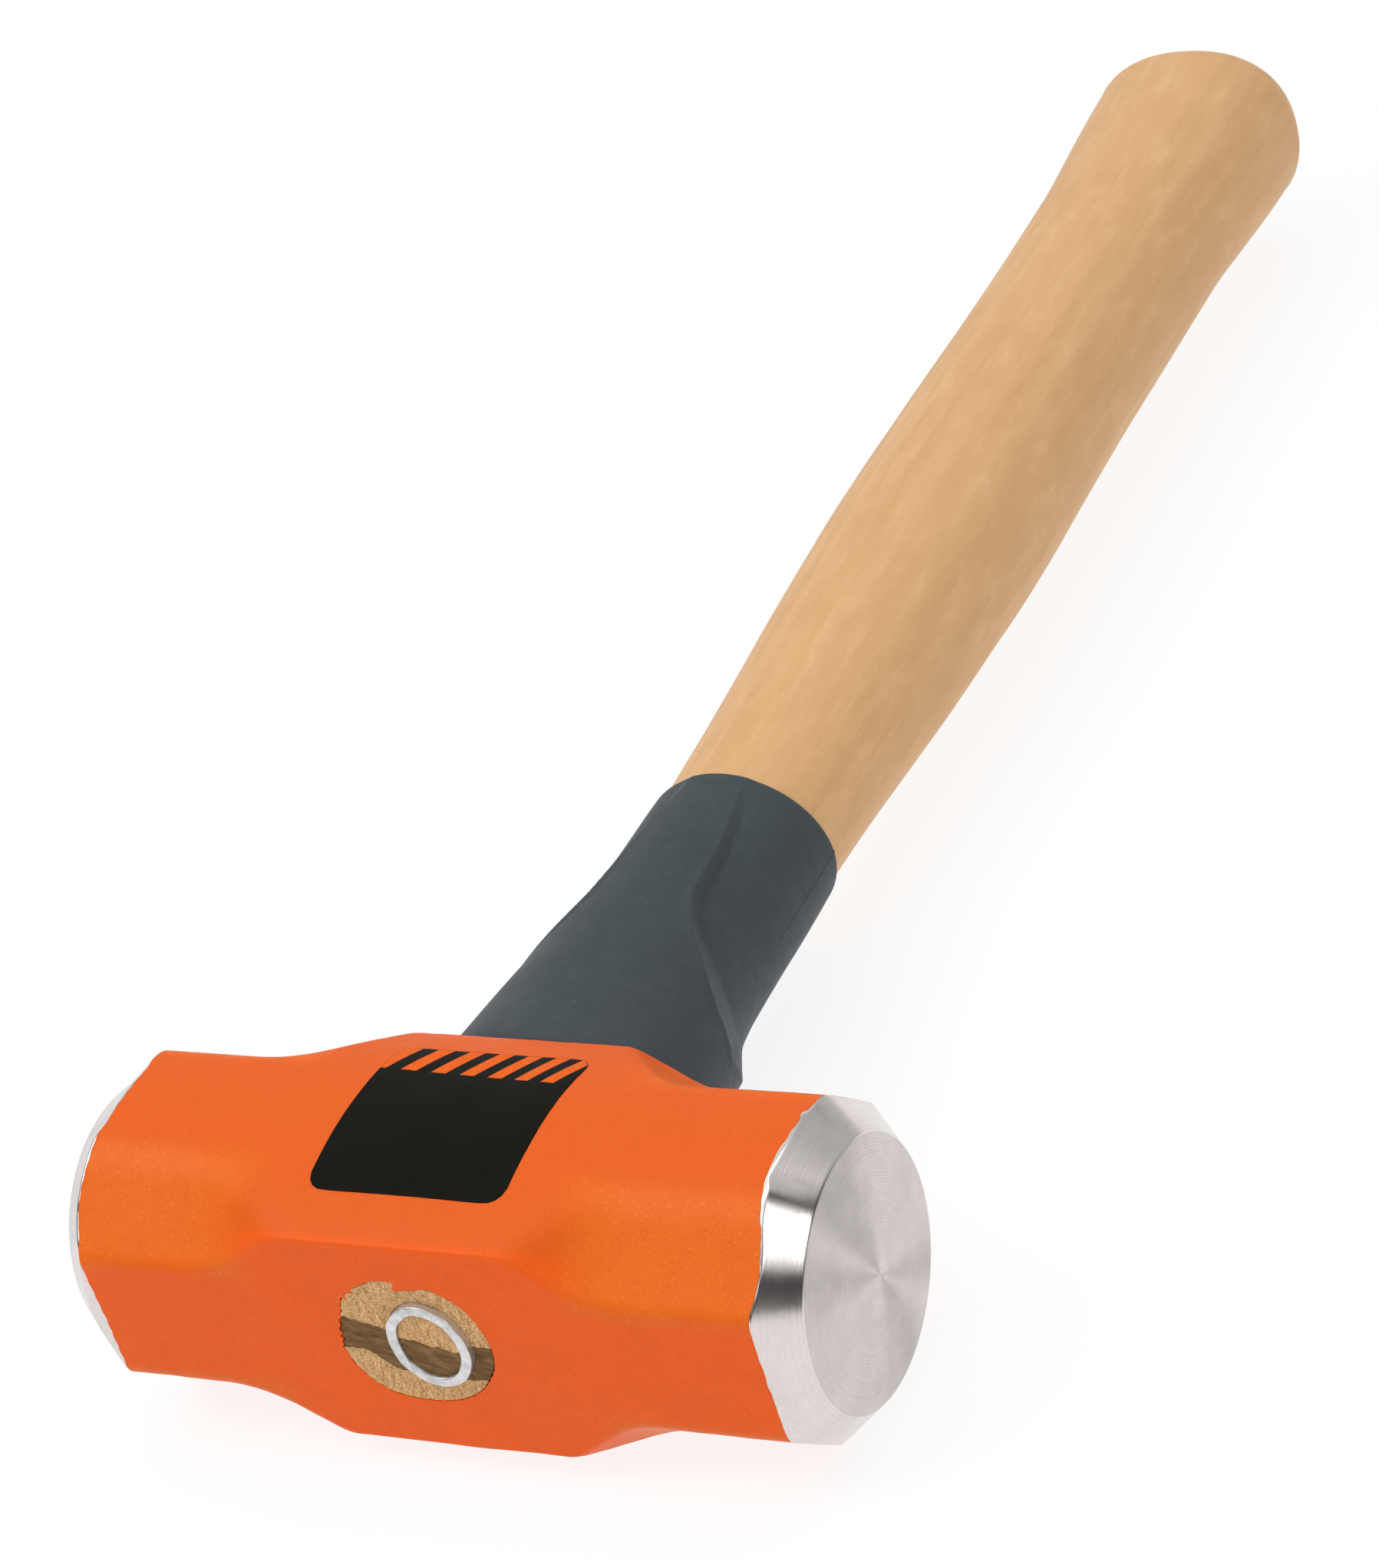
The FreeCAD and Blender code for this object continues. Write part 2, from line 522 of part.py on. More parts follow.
# -------------------------------------------------------------------- label
label = new_body("cheek_label")
sk = new_sketch(label, "label_plan", "XY_Plane",
                Placement(Vector(0, 0, 15), Rotation()))
lx, y0, y1, rc = V["label_half_x"], V["label_y0"], V["label_y1"], V["label_corner"]
corners = [(-lx, y0), (lx, y0), (lx, y1), (-lx, y1)]
lines, arcs = [], []
for k in range(4):
    (ax, ay_), (bx, by) = corners[k], corners[(k + 1) % 4]
    d = Vector(bx - ax, by - ay_, 0).normalize()
    lines.append(sk.addGeometry(Part.LineSegment(Vector(ax, ay_, 0) + d * rc,
                                                 Vector(bx, by, 0) - d * rc), False))
for k in range(4):
    cx, cy = corners[(k + 1) % 4]
    cx, cy = cx - math.copysign(rc, cx), cy - math.copysign(rc, cy)
    a0 = (k - 1) * math.pi / 2
    arcs.append(sk.addGeometry(Part.ArcOfCircle(Part.Circle(Vector(cx, cy, 0), Vector(0, 0, 1), rc),
                                                a0, a0 + math.pi / 2), False))
for k in range(4):
    sk.addConstraint(Sketcher.Constraint("Tangent", lines[k], 2, arcs[k], 1))
    sk.addConstraint(Sketcher.Constraint("Tangent", arcs[k], 2, lines[(k + 1) % 4], 1))
    bind(sk, Sketcher.Constraint("Radius", arcs[k], rc), "corner%d" % k, "Dims.label_corner")
sk.addConstraint(Sketcher.Constraint("Horizontal", lines[0]))
sk.addConstraint(Sketcher.Constraint("Vertical", lines[1]))
sk.addConstraint(Sketcher.Constraint("Horizontal", lines[2]))
sk.addConstraint(Sketcher.Constraint("Vertical", lines[3]))
bind(sk, Sketcher.Constraint("DistanceX", -1, 1, lines[1], 1, lx), "right", "Dims.label_half_x")
bind(sk, Sketcher.Constraint("DistanceX", lines[3], 1, -1, 1, lx), "left", "Dims.label_half_x")
bind(sk, Sketcher.Constraint("DistanceY", lines[0], 1, -1, 1, -y0), "low", "-Dims.label_y0")
bind(sk, Sketcher.Constraint("DistanceY", -1, 1, lines[2], 1, y1), "high", "Dims.label_y1")
pad(label, "label_block", sk, "12", 12)

sk = new_sketch(label, "label_skin", "YZ_Plane")
zc0 = az - R
span = math.radians(28)
for tag, rr, zflat in (("under", R, 0.0), ("over", R + V["label_thick"], 40.0)):
    ya, za = rr * math.sin(span), zc0 + rr * math.cos(span)
    arc = sk.addGeometry(Part.ArcOfCircle(Part.Circle(Vector(0, zc0, 0), Vector(0, 0, 1), rr),
                                          math.pi / 2 - span, math.pi / 2 + span), False)
    la = sk.addGeometry(Part.LineSegment(Vector(-ya, za, 0), Vector(-ya, zflat, 0)), False)
    lb = sk.addGeometry(Part.LineSegment(Vector(-ya, zflat, 0), Vector(ya, zflat, 0)), False)
    lc = sk.addGeometry(Part.LineSegment(Vector(ya, zflat, 0), Vector(ya, za, 0)), False)
    for a, ap, b, bp in ((arc, 2, la, 1), (la, 2, lb, 1), (lb, 2, lc, 1), (lc, 2, arc, 1)):
        sk.addConstraint(Sketcher.Constraint("Coincident", a, ap, b, bp))
    sk.addConstraint(Sketcher.Constraint("Vertical", la))
    sk.addConstraint(Sketcher.Constraint("Vertical", lc))
    sk.addConstraint(Sketcher.Constraint("Horizontal", lb))
    sk.addConstraint(Sketcher.Constraint("PointOnObject", arc, 3, -2))
    bind(sk, Sketcher.Constraint("DistanceY", arc, 3, -1, 1, -zc0), tag + "_centre",
         "Dims.cheek_crown_radius - Dims.cheek_height")
    bind(sk, Sketcher.Constraint("Radius", arc, rr), tag + "_radius",
         "Dims.cheek_crown_radius" + (" + Dims.label_thick" if tag == "over" else ""))
    bind(sk, Sketcher.Constraint("DistanceX", -1, 1, lb, 2, ya), tag + "_half", "%.6f" % ya)
    if tag == "over":
        bind(sk, Sketcher.Constraint("DistanceY", -1, 1, lb, 2, zflat), tag + "_flat", "40")
    else:
        sk.addConstraint(Sketcher.Constraint("PointOnObject", lb, 2, -1))
pocket(label, "label_skin_cut", sk, "4 * Dims.label_half_x", 4 * lx)

# ---------------------------------------------------------------- placement
# The frame's origin is under the middle of the hammer as it lies.
bodies = [head, handle, wedge, ring, sleeve, label]
for body in bodies:
    body.Placement = Placement(Vector(0, -(V["butt_y"] - V["side_half"] - V["ring_proud"]) / 2,
                                      V["cheek_height"]),
                               Rotation())
    body.setExpression(".Placement.Base.y", "-(Dims.butt_y - Dims.side_half - Dims.ring_proud) / 2 * 1 mm")
    body.setExpression(".Placement.Base.z", "Dims.cheek_height * 1 mm")
doc.recompute()

# ------------------------------------------------------------------- export
for obj in doc.Objects:
    if "Invalid" in obj.State or "Error" in obj.State:
        raise RuntimeError("%s: %s" % (obj.Name, obj.State))
for body in bodies:
    if body.Shape.isNull() or not body.Shape.isValid():
        raise RuntimeError("bad shape: " + body.Label)
    box = body.Shape.BoundBox
    print("%-15s solids %d  volume %10.1f  x %8.2f %8.2f  y %8.2f %8.2f  z %7.2f %7.2f"
          % (body.Label, len(body.Shape.Solids), body.Shape.Volume, box.XMin, box.XMax,
             box.YMin, box.YMax, box.ZMin, box.ZMax))
os.makedirs("parts", exist_ok=True)
for body in bodies:
    body.Shape.exportStep("parts/%s.step" % body.Label)
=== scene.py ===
import bpy
import math
import numpy as np
from mathutils import Matrix, Vector


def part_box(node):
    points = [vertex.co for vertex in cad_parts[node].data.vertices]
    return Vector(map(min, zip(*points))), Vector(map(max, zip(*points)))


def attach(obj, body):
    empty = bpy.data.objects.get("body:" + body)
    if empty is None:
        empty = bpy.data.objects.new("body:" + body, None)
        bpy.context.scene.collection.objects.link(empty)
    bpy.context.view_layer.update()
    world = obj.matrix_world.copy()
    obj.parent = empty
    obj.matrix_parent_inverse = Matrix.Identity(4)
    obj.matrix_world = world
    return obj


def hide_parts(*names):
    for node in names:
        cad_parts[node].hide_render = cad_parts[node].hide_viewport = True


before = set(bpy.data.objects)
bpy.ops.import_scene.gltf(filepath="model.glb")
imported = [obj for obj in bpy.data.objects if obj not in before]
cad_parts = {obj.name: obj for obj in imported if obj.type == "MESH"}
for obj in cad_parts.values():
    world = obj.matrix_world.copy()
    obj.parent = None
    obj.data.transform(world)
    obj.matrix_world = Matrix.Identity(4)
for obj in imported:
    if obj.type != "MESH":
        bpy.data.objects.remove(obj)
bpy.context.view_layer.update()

scene = bpy.context.scene
root = scene.collection

# Head centre in the row frame: the shapes below are worked out in millimetres
# from the point where the head axis meets the handle axis.
head_lo, head_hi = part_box("hammer_head")
CENTRE = np.array([0.0, (head_lo.y + head_hi.y) / 2, (head_lo.z + head_hi.z) / 2])
CX, CY, CZ = (float(c) for c in CENTRE)


# ------------------------------------------------------------------- tools
def waves(seed, count, low, high):
    """Sum of sine waves over three coordinates in mm, about -1 to 1."""
    rs = np.random.RandomState(seed)
    k = rs.normal(size=(count, 3))
    k /= np.linalg.norm(k, axis=1)[:, None]
    k *= (2 * np.pi / np.exp(rs.uniform(math.log(low), math.log(high), count)))[:, None]
    ph = rs.uniform(0, 2 * np.pi, count)

    def f(p):
        out = np.zeros(p.shape[:-1])
        for kk, pp in zip(k, ph):
            out += np.sin(p @ kk + pp)
        return out / math.sqrt(count)
    return f


def ring_noise(seed, count, low, high):
    """Periodic noise of an angle in radians, about -1 to 1."""
    rs = np.random.RandomState(seed)
    n = rs.randint(low, high + 1, count)
    ph = rs.uniform(0, 2 * np.pi, count)

    def f(a):
        return sum(np.sin(m * a + q) for m, q in zip(n, ph)) / math.sqrt(count)
    return f


def smax(a, b, k):
    h = np.clip(k - np.abs(a - b), 0, None) / k
    return np.maximum(a, b) + h * h * k / 4


def smooth(t):
    t = np.clip(t, 0, 1)
    return t * t * (3 - 2 * t)


def pchip(xs, ys):
    """Monotone cubic through points."""
    xs, ys = np.array(xs, float), np.array(ys, float)
    h, d = np.diff(xs), np.diff(ys) / np.diff(xs)
    m = np.zeros(len(xs))
    for i in range(1, len(xs) - 1):
        if d[i - 1] * d[i] > 0:
            w1, w2 = 2 * h[i] + h[i - 1], h[i] + 2 * h[i - 1]
            m[i] = (w1 + w2) / (w1 / d[i - 1] + w2 / d[i])
    m[0], m[-1] = d[0], d[-1]

    def f(x):
        x = np.clip(np.asarray(x, float), xs[0], xs[-1])
        i = np.clip(np.searchsorted(xs, x, side="right") - 1, 0, len(xs) - 2)
        t = (x - xs[i]) / h[i]
        return ((2 * t**3 - 3 * t**2 + 1) * ys[i] + (t**3 - 2 * t**2 + t) * h[i] * m[i]
                + (-2 * t**3 + 3 * t**2) * ys[i + 1] + (t**3 - t**2) * h[i] * m[i + 1])
    return f


def periodic(points):
    """Smooth closed curve of value over angle in degrees."""
    a = np.array([p[0] for p in points], float)
    v = np.array([p[1] for p in points], float)
    aa = np.concatenate([a - 360, a, a + 360])
    vv = np.concatenate([v, v, v])
    f = pchip(aa, vv)
    return lambda deg: f(np.mod(deg, 360))


def new_mesh(name, verts, loops, starts, totals, mats, index=None, flat=False, closed=True):
    """verts in mm about the head centre."""
    me = bpy.data.meshes.new(name)
    v = (np.asarray(verts, float) / 1000 + CENTRE).astype(np.float32)
    me.vertices.add(len(v))
    me.vertices.foreach_set("co", v.ravel())
    me.loops.add(len(loops))
    me.loops.foreach_set("vertex_index", np.asarray(loops, np.int32))
    me.polygons.add(len(starts))
    me.polygons.foreach_set("loop_start", np.asarray(starts, np.int32))
    me.polygons.foreach_set("loop_total", np.asarray(totals, np.int32))
    for m in mats:
        me.materials.append(m)
    if index is not None:
        me.polygons.foreach_set("material_index", np.asarray(index, np.int32))
    me.polygons.foreach_set("use_smooth", np.full(len(starts), not flat))
    me.update()
    me.validate()
    if closed:
        lv = np.asarray(loops, np.int64)
        st, tt = np.asarray(starts, np.int64), np.asarray(totals, np.int64)
        vv = np.asarray(verts, float)
        vol = 0.0
        for k in range(2, int(min(tt.max(), 4))):
            ok = tt > k
            a, b, c = vv[lv[st[ok]]], vv[lv[st[ok] + k - 1]], vv[lv[st[ok] + k]]
            vol += (np.cross(a, b) * c).sum()
        if vol < 0:
            me.flip_normals()
            me.update()
    obj = bpy.data.objects.new(name, me)
    root.objects.link(obj)
    return obj


def rings_mesh(name, P, mats, start=None, end=None, strip_mat=None, flip=False, loop_u=False, closed=True):
    """P is rings x points x 3. Optional poles close the ends."""
    n, m, _ = P.shape
    verts = [P.reshape(-1, 3)]
    a = np.arange(n if loop_u else n - 1)
    b = np.arange(m)
    A, B = np.meshgrid(a, b, indexing="ij")
    A2, B2 = (A + 1) % n, (B + 1) % m
    q = np.stack([A * m + B, A2 * m + B, A2 * m + B2, A * m + B2], -1).reshape(-1, 4)
    if flip:
        q = q[:, ::-1]
    idx = np.zeros(len(q), int) if strip_mat is None else np.repeat(np.asarray(strip_mat)[a], m)
    loops, totals, index = [q.ravel()], [np.full(len(q), 4)], [idx]
    extra = n * m
    for pole, ring, rev in ((start, 0, True), (end, n - 1, False)):
        if pole is None:
            continue
        verts.append(np.array(pole, float)[None])
        t = np.stack([ring * m + b, np.full(m, extra), ring * m + (b + 1) % m], -1)
        if rev != flip:
            t = t[:, ::-1]
        loops.append(t.ravel())
        totals.append(np.full(m, 3))
        index.append(np.full(m, 0 if strip_mat is None else strip_mat[min(ring, n - 2)]))
        extra += 1
    totals = np.concatenate(totals)
    starts = np.concatenate([[0], np.cumsum(totals)[:-1]])
    return new_mesh(name, np.concatenate(verts), np.concatenate(loops), starts, totals, mats,
                    np.concatenate(index), closed=closed)


def cut(obj, cutter, solver="EXACT", keep="DIFFERENCE"):
    m = obj.modifiers.new("cut", "BOOLEAN")
    m.operation = keep
    m.solver = solver
    m.object = cutter
    dg = bpy.context.evaluated_depsgraph_get()
    me = bpy.data.meshes.new_from_object(obj.evaluated_get(dg), depsgraph=dg)
    obj.modifiers.clear()
    old = obj.data
    obj.data = me
    bpy.data.meshes.remove(old)
    data = cutter.data
    bpy.data.objects.remove(cutter)
    bpy.data.meshes.remove(data)


def merge(a, b):
    """Puts b's mesh into a, materials matched by name."""
    n, la, pa = len(a.data.vertices), len(a.data.loops), len(a.data.polygons)
    slots = [m.name for m in a.data.materials]
    remap = []
    for m in b.data.materials:
        if m.name not in slots:
            a.data.materials.append(m)
            slots.append(m.name)
        remap.append(slots.index(m.name))
    nb, lb, pb = len(b.data.vertices), len(b.data.loops), len(b.data.polygons)
    co, lv = np.zeros(nb * 3, np.float32), np.zeros(lb, np.int32)
    ls, lt, mi = np.zeros(pb, np.int32), np.zeros(pb, np.int32), np.zeros(pb, np.int32)
    sm = np.zeros(pb, bool)
    b.data.vertices.foreach_get("co", co)
    b.data.loops.foreach_get("vertex_index", lv)
    b.data.polygons.foreach_get("loop_start", ls)
    b.data.polygons.foreach_get("loop_total", lt)
    b.data.polygons.foreach_get("material_index", mi)
    b.data.polygons.foreach_get("use_smooth", sm)
    ca_, lva = np.zeros(n * 3, np.float32), np.zeros(la, np.int32)
    lsa, lta, mia = np.zeros(pa, np.int32), np.zeros(pa, np.int32), np.zeros(pa, np.int32)
    sma = np.zeros(pa, bool)
    a.data.vertices.foreach_get("co", ca_)
    a.data.loops.foreach_get("vertex_index", lva)
    a.data.polygons.foreach_get("loop_start", lsa)
    a.data.polygons.foreach_get("loop_total", lta)
    a.data.polygons.foreach_get("material_index", mia)
    a.data.polygons.foreach_get("use_smooth", sma)
    me = bpy.data.meshes.new(a.data.name + "_joined")
    me.vertices.add(n + nb)
    me.vertices.foreach_set("co", np.concatenate([ca_, co]))
    me.loops.add(la + lb)
    me.loops.foreach_set("vertex_index", np.concatenate([lva, lv + n]).astype(np.int32))
    me.polygons.add(pa + pb)
    me.polygons.foreach_set("loop_start", np.concatenate([lsa, ls + la]).astype(np.int32))
    me.polygons.foreach_set("loop_total", np.concatenate([lta, lt]).astype(np.int32))
    for m in a.data.materials:
        me.materials.append(m)
    mi = np.array(remap, np.int32)[mi] if len(mi) else mi
    me.polygons.foreach_set("material_index", np.concatenate([mia, mi]).astype(np.int32))
    me.polygons.foreach_set("use_smooth", np.concatenate([sma, sm]))
    me.update()
    me.validate()
    old, old_b = a.data, b.data
    a.data = me
    bpy.data.objects.remove(b)
    bpy.data.meshes.remove(old)
    bpy.data.meshes.remove(old_b)


# --------------------------------------------------------------- materials
class Mat:
    """Short hand for a node material."""

    def __init__(self, name):
        self.m = bpy.data.materials.new(name)
        self.m.use_nodes = True
        self.t = self.m.node_tree
        self.t.nodes.clear()
        self.out = self.add("ShaderNodeOutputMaterial")
        self.b = self.add("ShaderNodeBsdfPrincipled")
        self.link(self.b.outputs[0], self.out.inputs[0])
        self.co = self.add("ShaderNodeTexCoord").outputs["Object"]

    def add(self, kind, **kw):
        n = self.t.nodes.new(kind)
        for k, v in kw.items():
            setattr(n, k, v)
        return n

    def link(self, a, b):
        self.t.links.new(a, b)

    def put(self, sock, v):
        if v is None:
            return
        if hasattr(v, "links"):
            self.link(v, sock)
        else:
            sock.default_value = v

    def math(self, op, a, b=None, c=None, clamp=False):
        n = self.add("ShaderNodeMath", operation=op, use_clamp=clamp)
        for i, v in enumerate((a, b, c)):
            self.put(n.inputs[i], v)
        return n.outputs[0]

    def vec(self, op, a, b=None, scale=None):
        n = self.add("ShaderNodeVectorMath", operation=op)
        self.put(n.inputs[0], a)
        self.put(n.inputs[1], b)
        if scale is not None:
            n.inputs["Scale"].default_value = scale
        return n.outputs[1] if op in ("LENGTH", "DOT_PRODUCT", "DISTANCE") else n.outputs[0]

    def shift(self, at=None):
        """Position in metres from a point."""
        c = tuple(at) if at is not None else (CX, CY, CZ)
        return self.vec("SUBTRACT", self.co, c)

    def xyz(self, v):
        n = self.add("ShaderNodeSeparateXYZ")
        self.link(v, n.inputs[0])
        return n.outputs

    def comb(self, x=0.0, y=0.0, z=0.0):
        n = self.add("ShaderNodeCombineXYZ")
        for i, v in enumerate((x, y, z)):
            self.put(n.inputs[i], v)
        return n.outputs[0]

    def noise(self, v, scale, detail=2.0, rough=0.5, dist=0.0, color=False):
        n = self.add("ShaderNodeTexNoise")
        self.link(v, n.inputs["Vector"])
        n.inputs["Scale"].default_value = scale
        n.inputs["Detail"].default_value = detail
        n.inputs["Roughness"].default_value = rough
        n.inputs["Distortion"].default_value = dist
        return n.outputs[1 if color else 0]

    def voronoi(self, v, scale, feature="F1", rand=1.0):
        n = self.add("ShaderNodeTexVoronoi", feature=feature)
        self.link(v, n.inputs["Vector"])
        n.inputs["Scale"].default_value = scale
        n.inputs["Randomness"].default_value = rand
        return n.outputs["Distance"]

    def ramp(self, fac, stops, mode="LINEAR"):
        n = self.add("ShaderNodeValToRGB")
        n.color_ramp.interpolation = mode
        el = n.color_ramp.elements
        while len(el) < len(stops):
            el.new(0.5)
        for e, (p, c) in zip(el, stops):
            e.position = p
            c = (c, c, c) if not hasattr(c, "__len__") else c
            e.color = (c[0], c[1], c[2], 1)
        self.link(fac, n.inputs[0])
        return n.outputs[0]

    def rng(self, v, a, b, c, d, smooth_step=False):
        n = self.add("ShaderNodeMapRange", clamp=True)
        if smooth_step:
            n.interpolation_type = "SMOOTHSTEP"
        self.put(n.inputs[0], v)
        for i, q in enumerate((a, b, c, d)):
            n.inputs[i + 1].default_value = q
        return n.outputs[0]

    def mix(self, fac, a, b, mode="MIX"):
        n = self.add("ShaderNodeMix", data_type="RGBA", blend_type=mode)
        self.put(n.inputs[0], fac)
        for i, v in ((6, a), (7, b)):
            if hasattr(v, "links"):
                self.link(v, n.inputs[i])
            else:
                n.inputs[i].default_value = (v[0], v[1], v[2], 1)
        return n.outputs[2]

    def bump(self, height, dist, strength=1.0, normal=None):
        n = self.add("ShaderNodeBump")
        n.inputs["Strength"].default_value = strength
        n.inputs["Distance"].default_value = dist
        self.link(height, n.inputs["Height"])
        if normal is not None:
            self.link(normal, n.inputs["Normal"])
        return n.outputs[0]

    def set(self, **kw):
        names = {"color": "Base Color", "rough": "Roughness", "metal": "Metallic",
                 "normal": "Normal", "spec": "Specular IOR Level", "coat": "Coat Weight",
                 "coat_rough": "Coat Roughness", "aniso": "Anisotropic", "tangent": "Tangent",
                 "rot": "Anisotropic Rotation", "sheen": "Sheen Weight", "ior": "IOR",
                 "sheen_rough": "Sheen Roughness", "sheen_tint": "Sheen Tint",
                 "sss": "Subsurface Weight"}
        for k, v in kw.items():
            s = self.b.inputs[names[k]]
            if isinstance(v, tuple) and len(v) == 3:
                v = (*v, 1)
            self.put(s, v)
        return self.m


def paint_material():
    k = Mat("orange_paint")
    p = k.shift()
    x, y, z = k.xyz(p)
    broad = k.noise(p, 38.0, 3.0, 0.55)
    mid = k.noise(p, 210.0, 4.0, 0.6)
    grain = k.noise(p, 2300.0, 3.0, 0.62)
    pits = k.voronoi(p, 1500.0)
    pit = k.rng(pits, 0.05, 0.30, 0.0, 1.0, True)
    # painted light: the bevels get a lighter, yellower copy of the paint and the two sides a brighter, redder one than
    # the cheeks, standing in for how the light falls on each face
    yy, zz = k.math("MULTIPLY", y, y), k.math("MULTIPLY", z, z)
    yz = k.math("ABSOLUTE", k.math("MULTIPLY", y, z))
    corner = k.math("DIVIDE", k.math("MULTIPLY", yz, 2.0), k.math("ADD", yy, zz))
    corner = k.math("ADD", corner, k.math("MULTIPLY", k.math("SUBTRACT", broad, 0.5), 0.25))
    bevel_painted_light = k.math("MULTIPLY", k.rng(corner, 0.62, 0.86, 0.0, 1.0, True),
                   k.rng(k.math("ABSOLUTE", x), 0.021, 0.029, 0.0, 1.0, True))
    # painted light: mask of the two sides, which get the brighter, redder copy of the paint
    side = k.rng(k.math("SUBTRACT", yy, zz), 0.00004, 0.00014, 0.0, 1.0, True)
    col = k.mix(side, (0.778, 0.118, 0.0090), (0.920, 0.118, 0.0075))
    col = k.mix(bevel_painted_light, col, (0.840, 0.152, 0.0110))
    col = k.mix(k.rng(broad, 0.3, 0.7, 0.10, 0.0), col, (0.70, 0.095, 0.007))
    col = k.mix(k.rng(mid, 0.36, 0.62, 0.16, 0.0), col, (0.70, 0.088, 0.006))
    col = k.mix(k.rng(grain, 0.30, 0.46, 0.22, 0.0, True), col, (0.56, 0.064, 0.005))
    # bright paint flakes, a real speckle of the paint, made denser on the bevels as painted highlight
    flake_and_bevel_highlight = k.math("MULTIPLY", k.rng(grain, 0.58, 0.74, 0.0, 1.0, True), k.rng(bevel_painted_light, 0.0, 1.0, 0.14, 0.60))
    col = k.mix(flake_and_bevel_highlight, col, (0.93, 0.26, 0.040))
    h1 = k.bump(broad, 0.00028, 0.4)
    h2 = k.bump(mid, 0.00006, 0.45, h1)
    h3 = k.bump(grain, 0.00004, 0.75, h2)
    h4 = k.bump(pit, 0.00002, 0.35, h3)
    rough = k.rng(grain, 0.3, 0.7, 0.50, 0.38)
    return k.set(color=col, rough=rough, normal=h4, spec=0.14)


def steel_material(name, disc):
    """Turned steel: marks run round the head axis."""
    k = Mat(name)
    p = k.shift()
    x, y, z = k.xyz(p)
    r = k.math("SQRT", k.math("ADD", k.math("MULTIPLY", y, y), k.math("MULTIPLY", z, z)))
    line = k.comb(k.math("MULTIPLY", r, 1.0), k.math("MULTIPLY", x, 0.6 if disc else 1.0), 0.0)
    fine = k.noise(line, 5200.0, 3.0, 0.7)
    wide = k.noise(line, 900.0, 3.0, 0.6)
    blotch = k.noise(p, 260.0, 4.0, 0.6)
    # highlights are drawn out across the marks, so the tangent points away from the axis
    turn = k.comb(0.0, y, z)
    base = k.ramp(fine, [(0.25, (0.67, 0.615, 0.598)), (0.75, (0.82, 0.765, 0.745))])
    base = k.mix(k.rng(blotch, 0.3, 0.7, 0.0, 0.35), base, (0.58, 0.535, 0.520))
    normal = k.bump(fine, 0.000012, 0.45)
    normal = k.bump(wide, 0.00004, 0.25, normal)
    if disc:
        rings = k.math("SINE", k.math("MULTIPLY", r, 2 * math.pi / 0.00042))
        rings = k.math("ADD", k.math("MULTIPLY", rings, 0.5), 0.5)
        fade = k.rng(r, 0.0015, 0.006, 0.0, 1.0, True)
        rings = k.math("MULTIPLY", rings, fade)
        normal = k.bump(rings, 0.000022, 0.9, normal)
        base = k.mix(k.math("MULTIPLY", rings, 0.20), base, (0.45, 0.42, 0.41))
        rough = k.rng(blotch, 0.3, 0.7, 0.42, 0.48)
        return k.set(color=base, metal=1.0, rough=rough, normal=normal, aniso=0.93, tangent=turn)
    rough = k.rng(blotch, 0.3, 0.7, 0.20, 0.26)
    return k.set(color=base, metal=1.0, rough=rough, normal=normal, aniso=0.75, tangent=turn)


def wood_material():
    k = Mat("handle_wood")
    p = k.shift()
    x, y, z = k.xyz(p)
    along = k.comb(k.math("MULTIPLY", x, 1.0), k.math("MULTIPLY", y, 0.055), k.math("MULTIPLY", z, 1.0))
    slow = k.comb(x, k.math("MULTIPLY", y, 0.02), z)
    bend = k.noise(k.comb(x, k.math("MULTIPLY", y, 0.35), z), 9.0, 2.0, 0.5, 0.0, True)
    warped = k.vec("ADD", along, k.vec("SCALE", bend, None, 0.006))
    growth = k.noise(k.vec("ADD", slow, k.vec("SCALE", bend, None, 0.004)), 150.0, 2.0, 0.5, 0.6)
    streak = k.noise(warped, 520.0, 5.0, 0.62)
    fine = k.noise(k.comb(x, k.math("MULTIPLY", y, 0.03), z), 2600.0, 3.0, 0.65)
    broad = k.noise(p, 22.0, 2.0, 0.5)
    base = k.ramp(growth, [(0.20, (0.665, 0.380, 0.168)), (0.45, (0.720, 0.422, 0.196)),
                           (0.62, (0.745, 0.446, 0.212)), (0.85, (0.695, 0.400, 0.180))])
    mottle = k.noise(k.comb(x, k.math("MULTIPLY", y, 0.30), z), 300.0, 4.0, 0.66)
    base = k.mix(k.rng(streak, 0.42, 0.70, 0.0, 0.26), base, (0.540, 0.290, 0.118))
    base = k.mix(k.rng(mottle, 0.34, 0.52, 0.26, 0.0), base, (0.560, 0.310, 0.130))
    base = k.mix(k.rng(mottle, 0.54, 0.74, 0.0, 0.40), base, (0.860, 0.575, 0.315))
    base = k.mix(k.rng(fine, 0.58, 0.75, 0.0, 0.26), base, (0.430, 0.215, 0.085))
    base = k.mix(k.rng(fine, 0.25, 0.42, 0.26, 0.0), base, (0.820, 0.545, 0.300))
    base = k.mix(k.rng(broad, 0.35, 0.7, 0.0, 0.30), base, (0.740, 0.455, 0.225))
    height = k.math("ADD", k.math("MULTIPLY", streak, 0.6), fine)
    normal = k.bump(height, 0.00004, 0.35)
    rough = k.rng(streak, 0.3, 0.7, 0.42, 0.55)
    return k.set(color=base, rough=rough, normal=normal, spec=0.18)


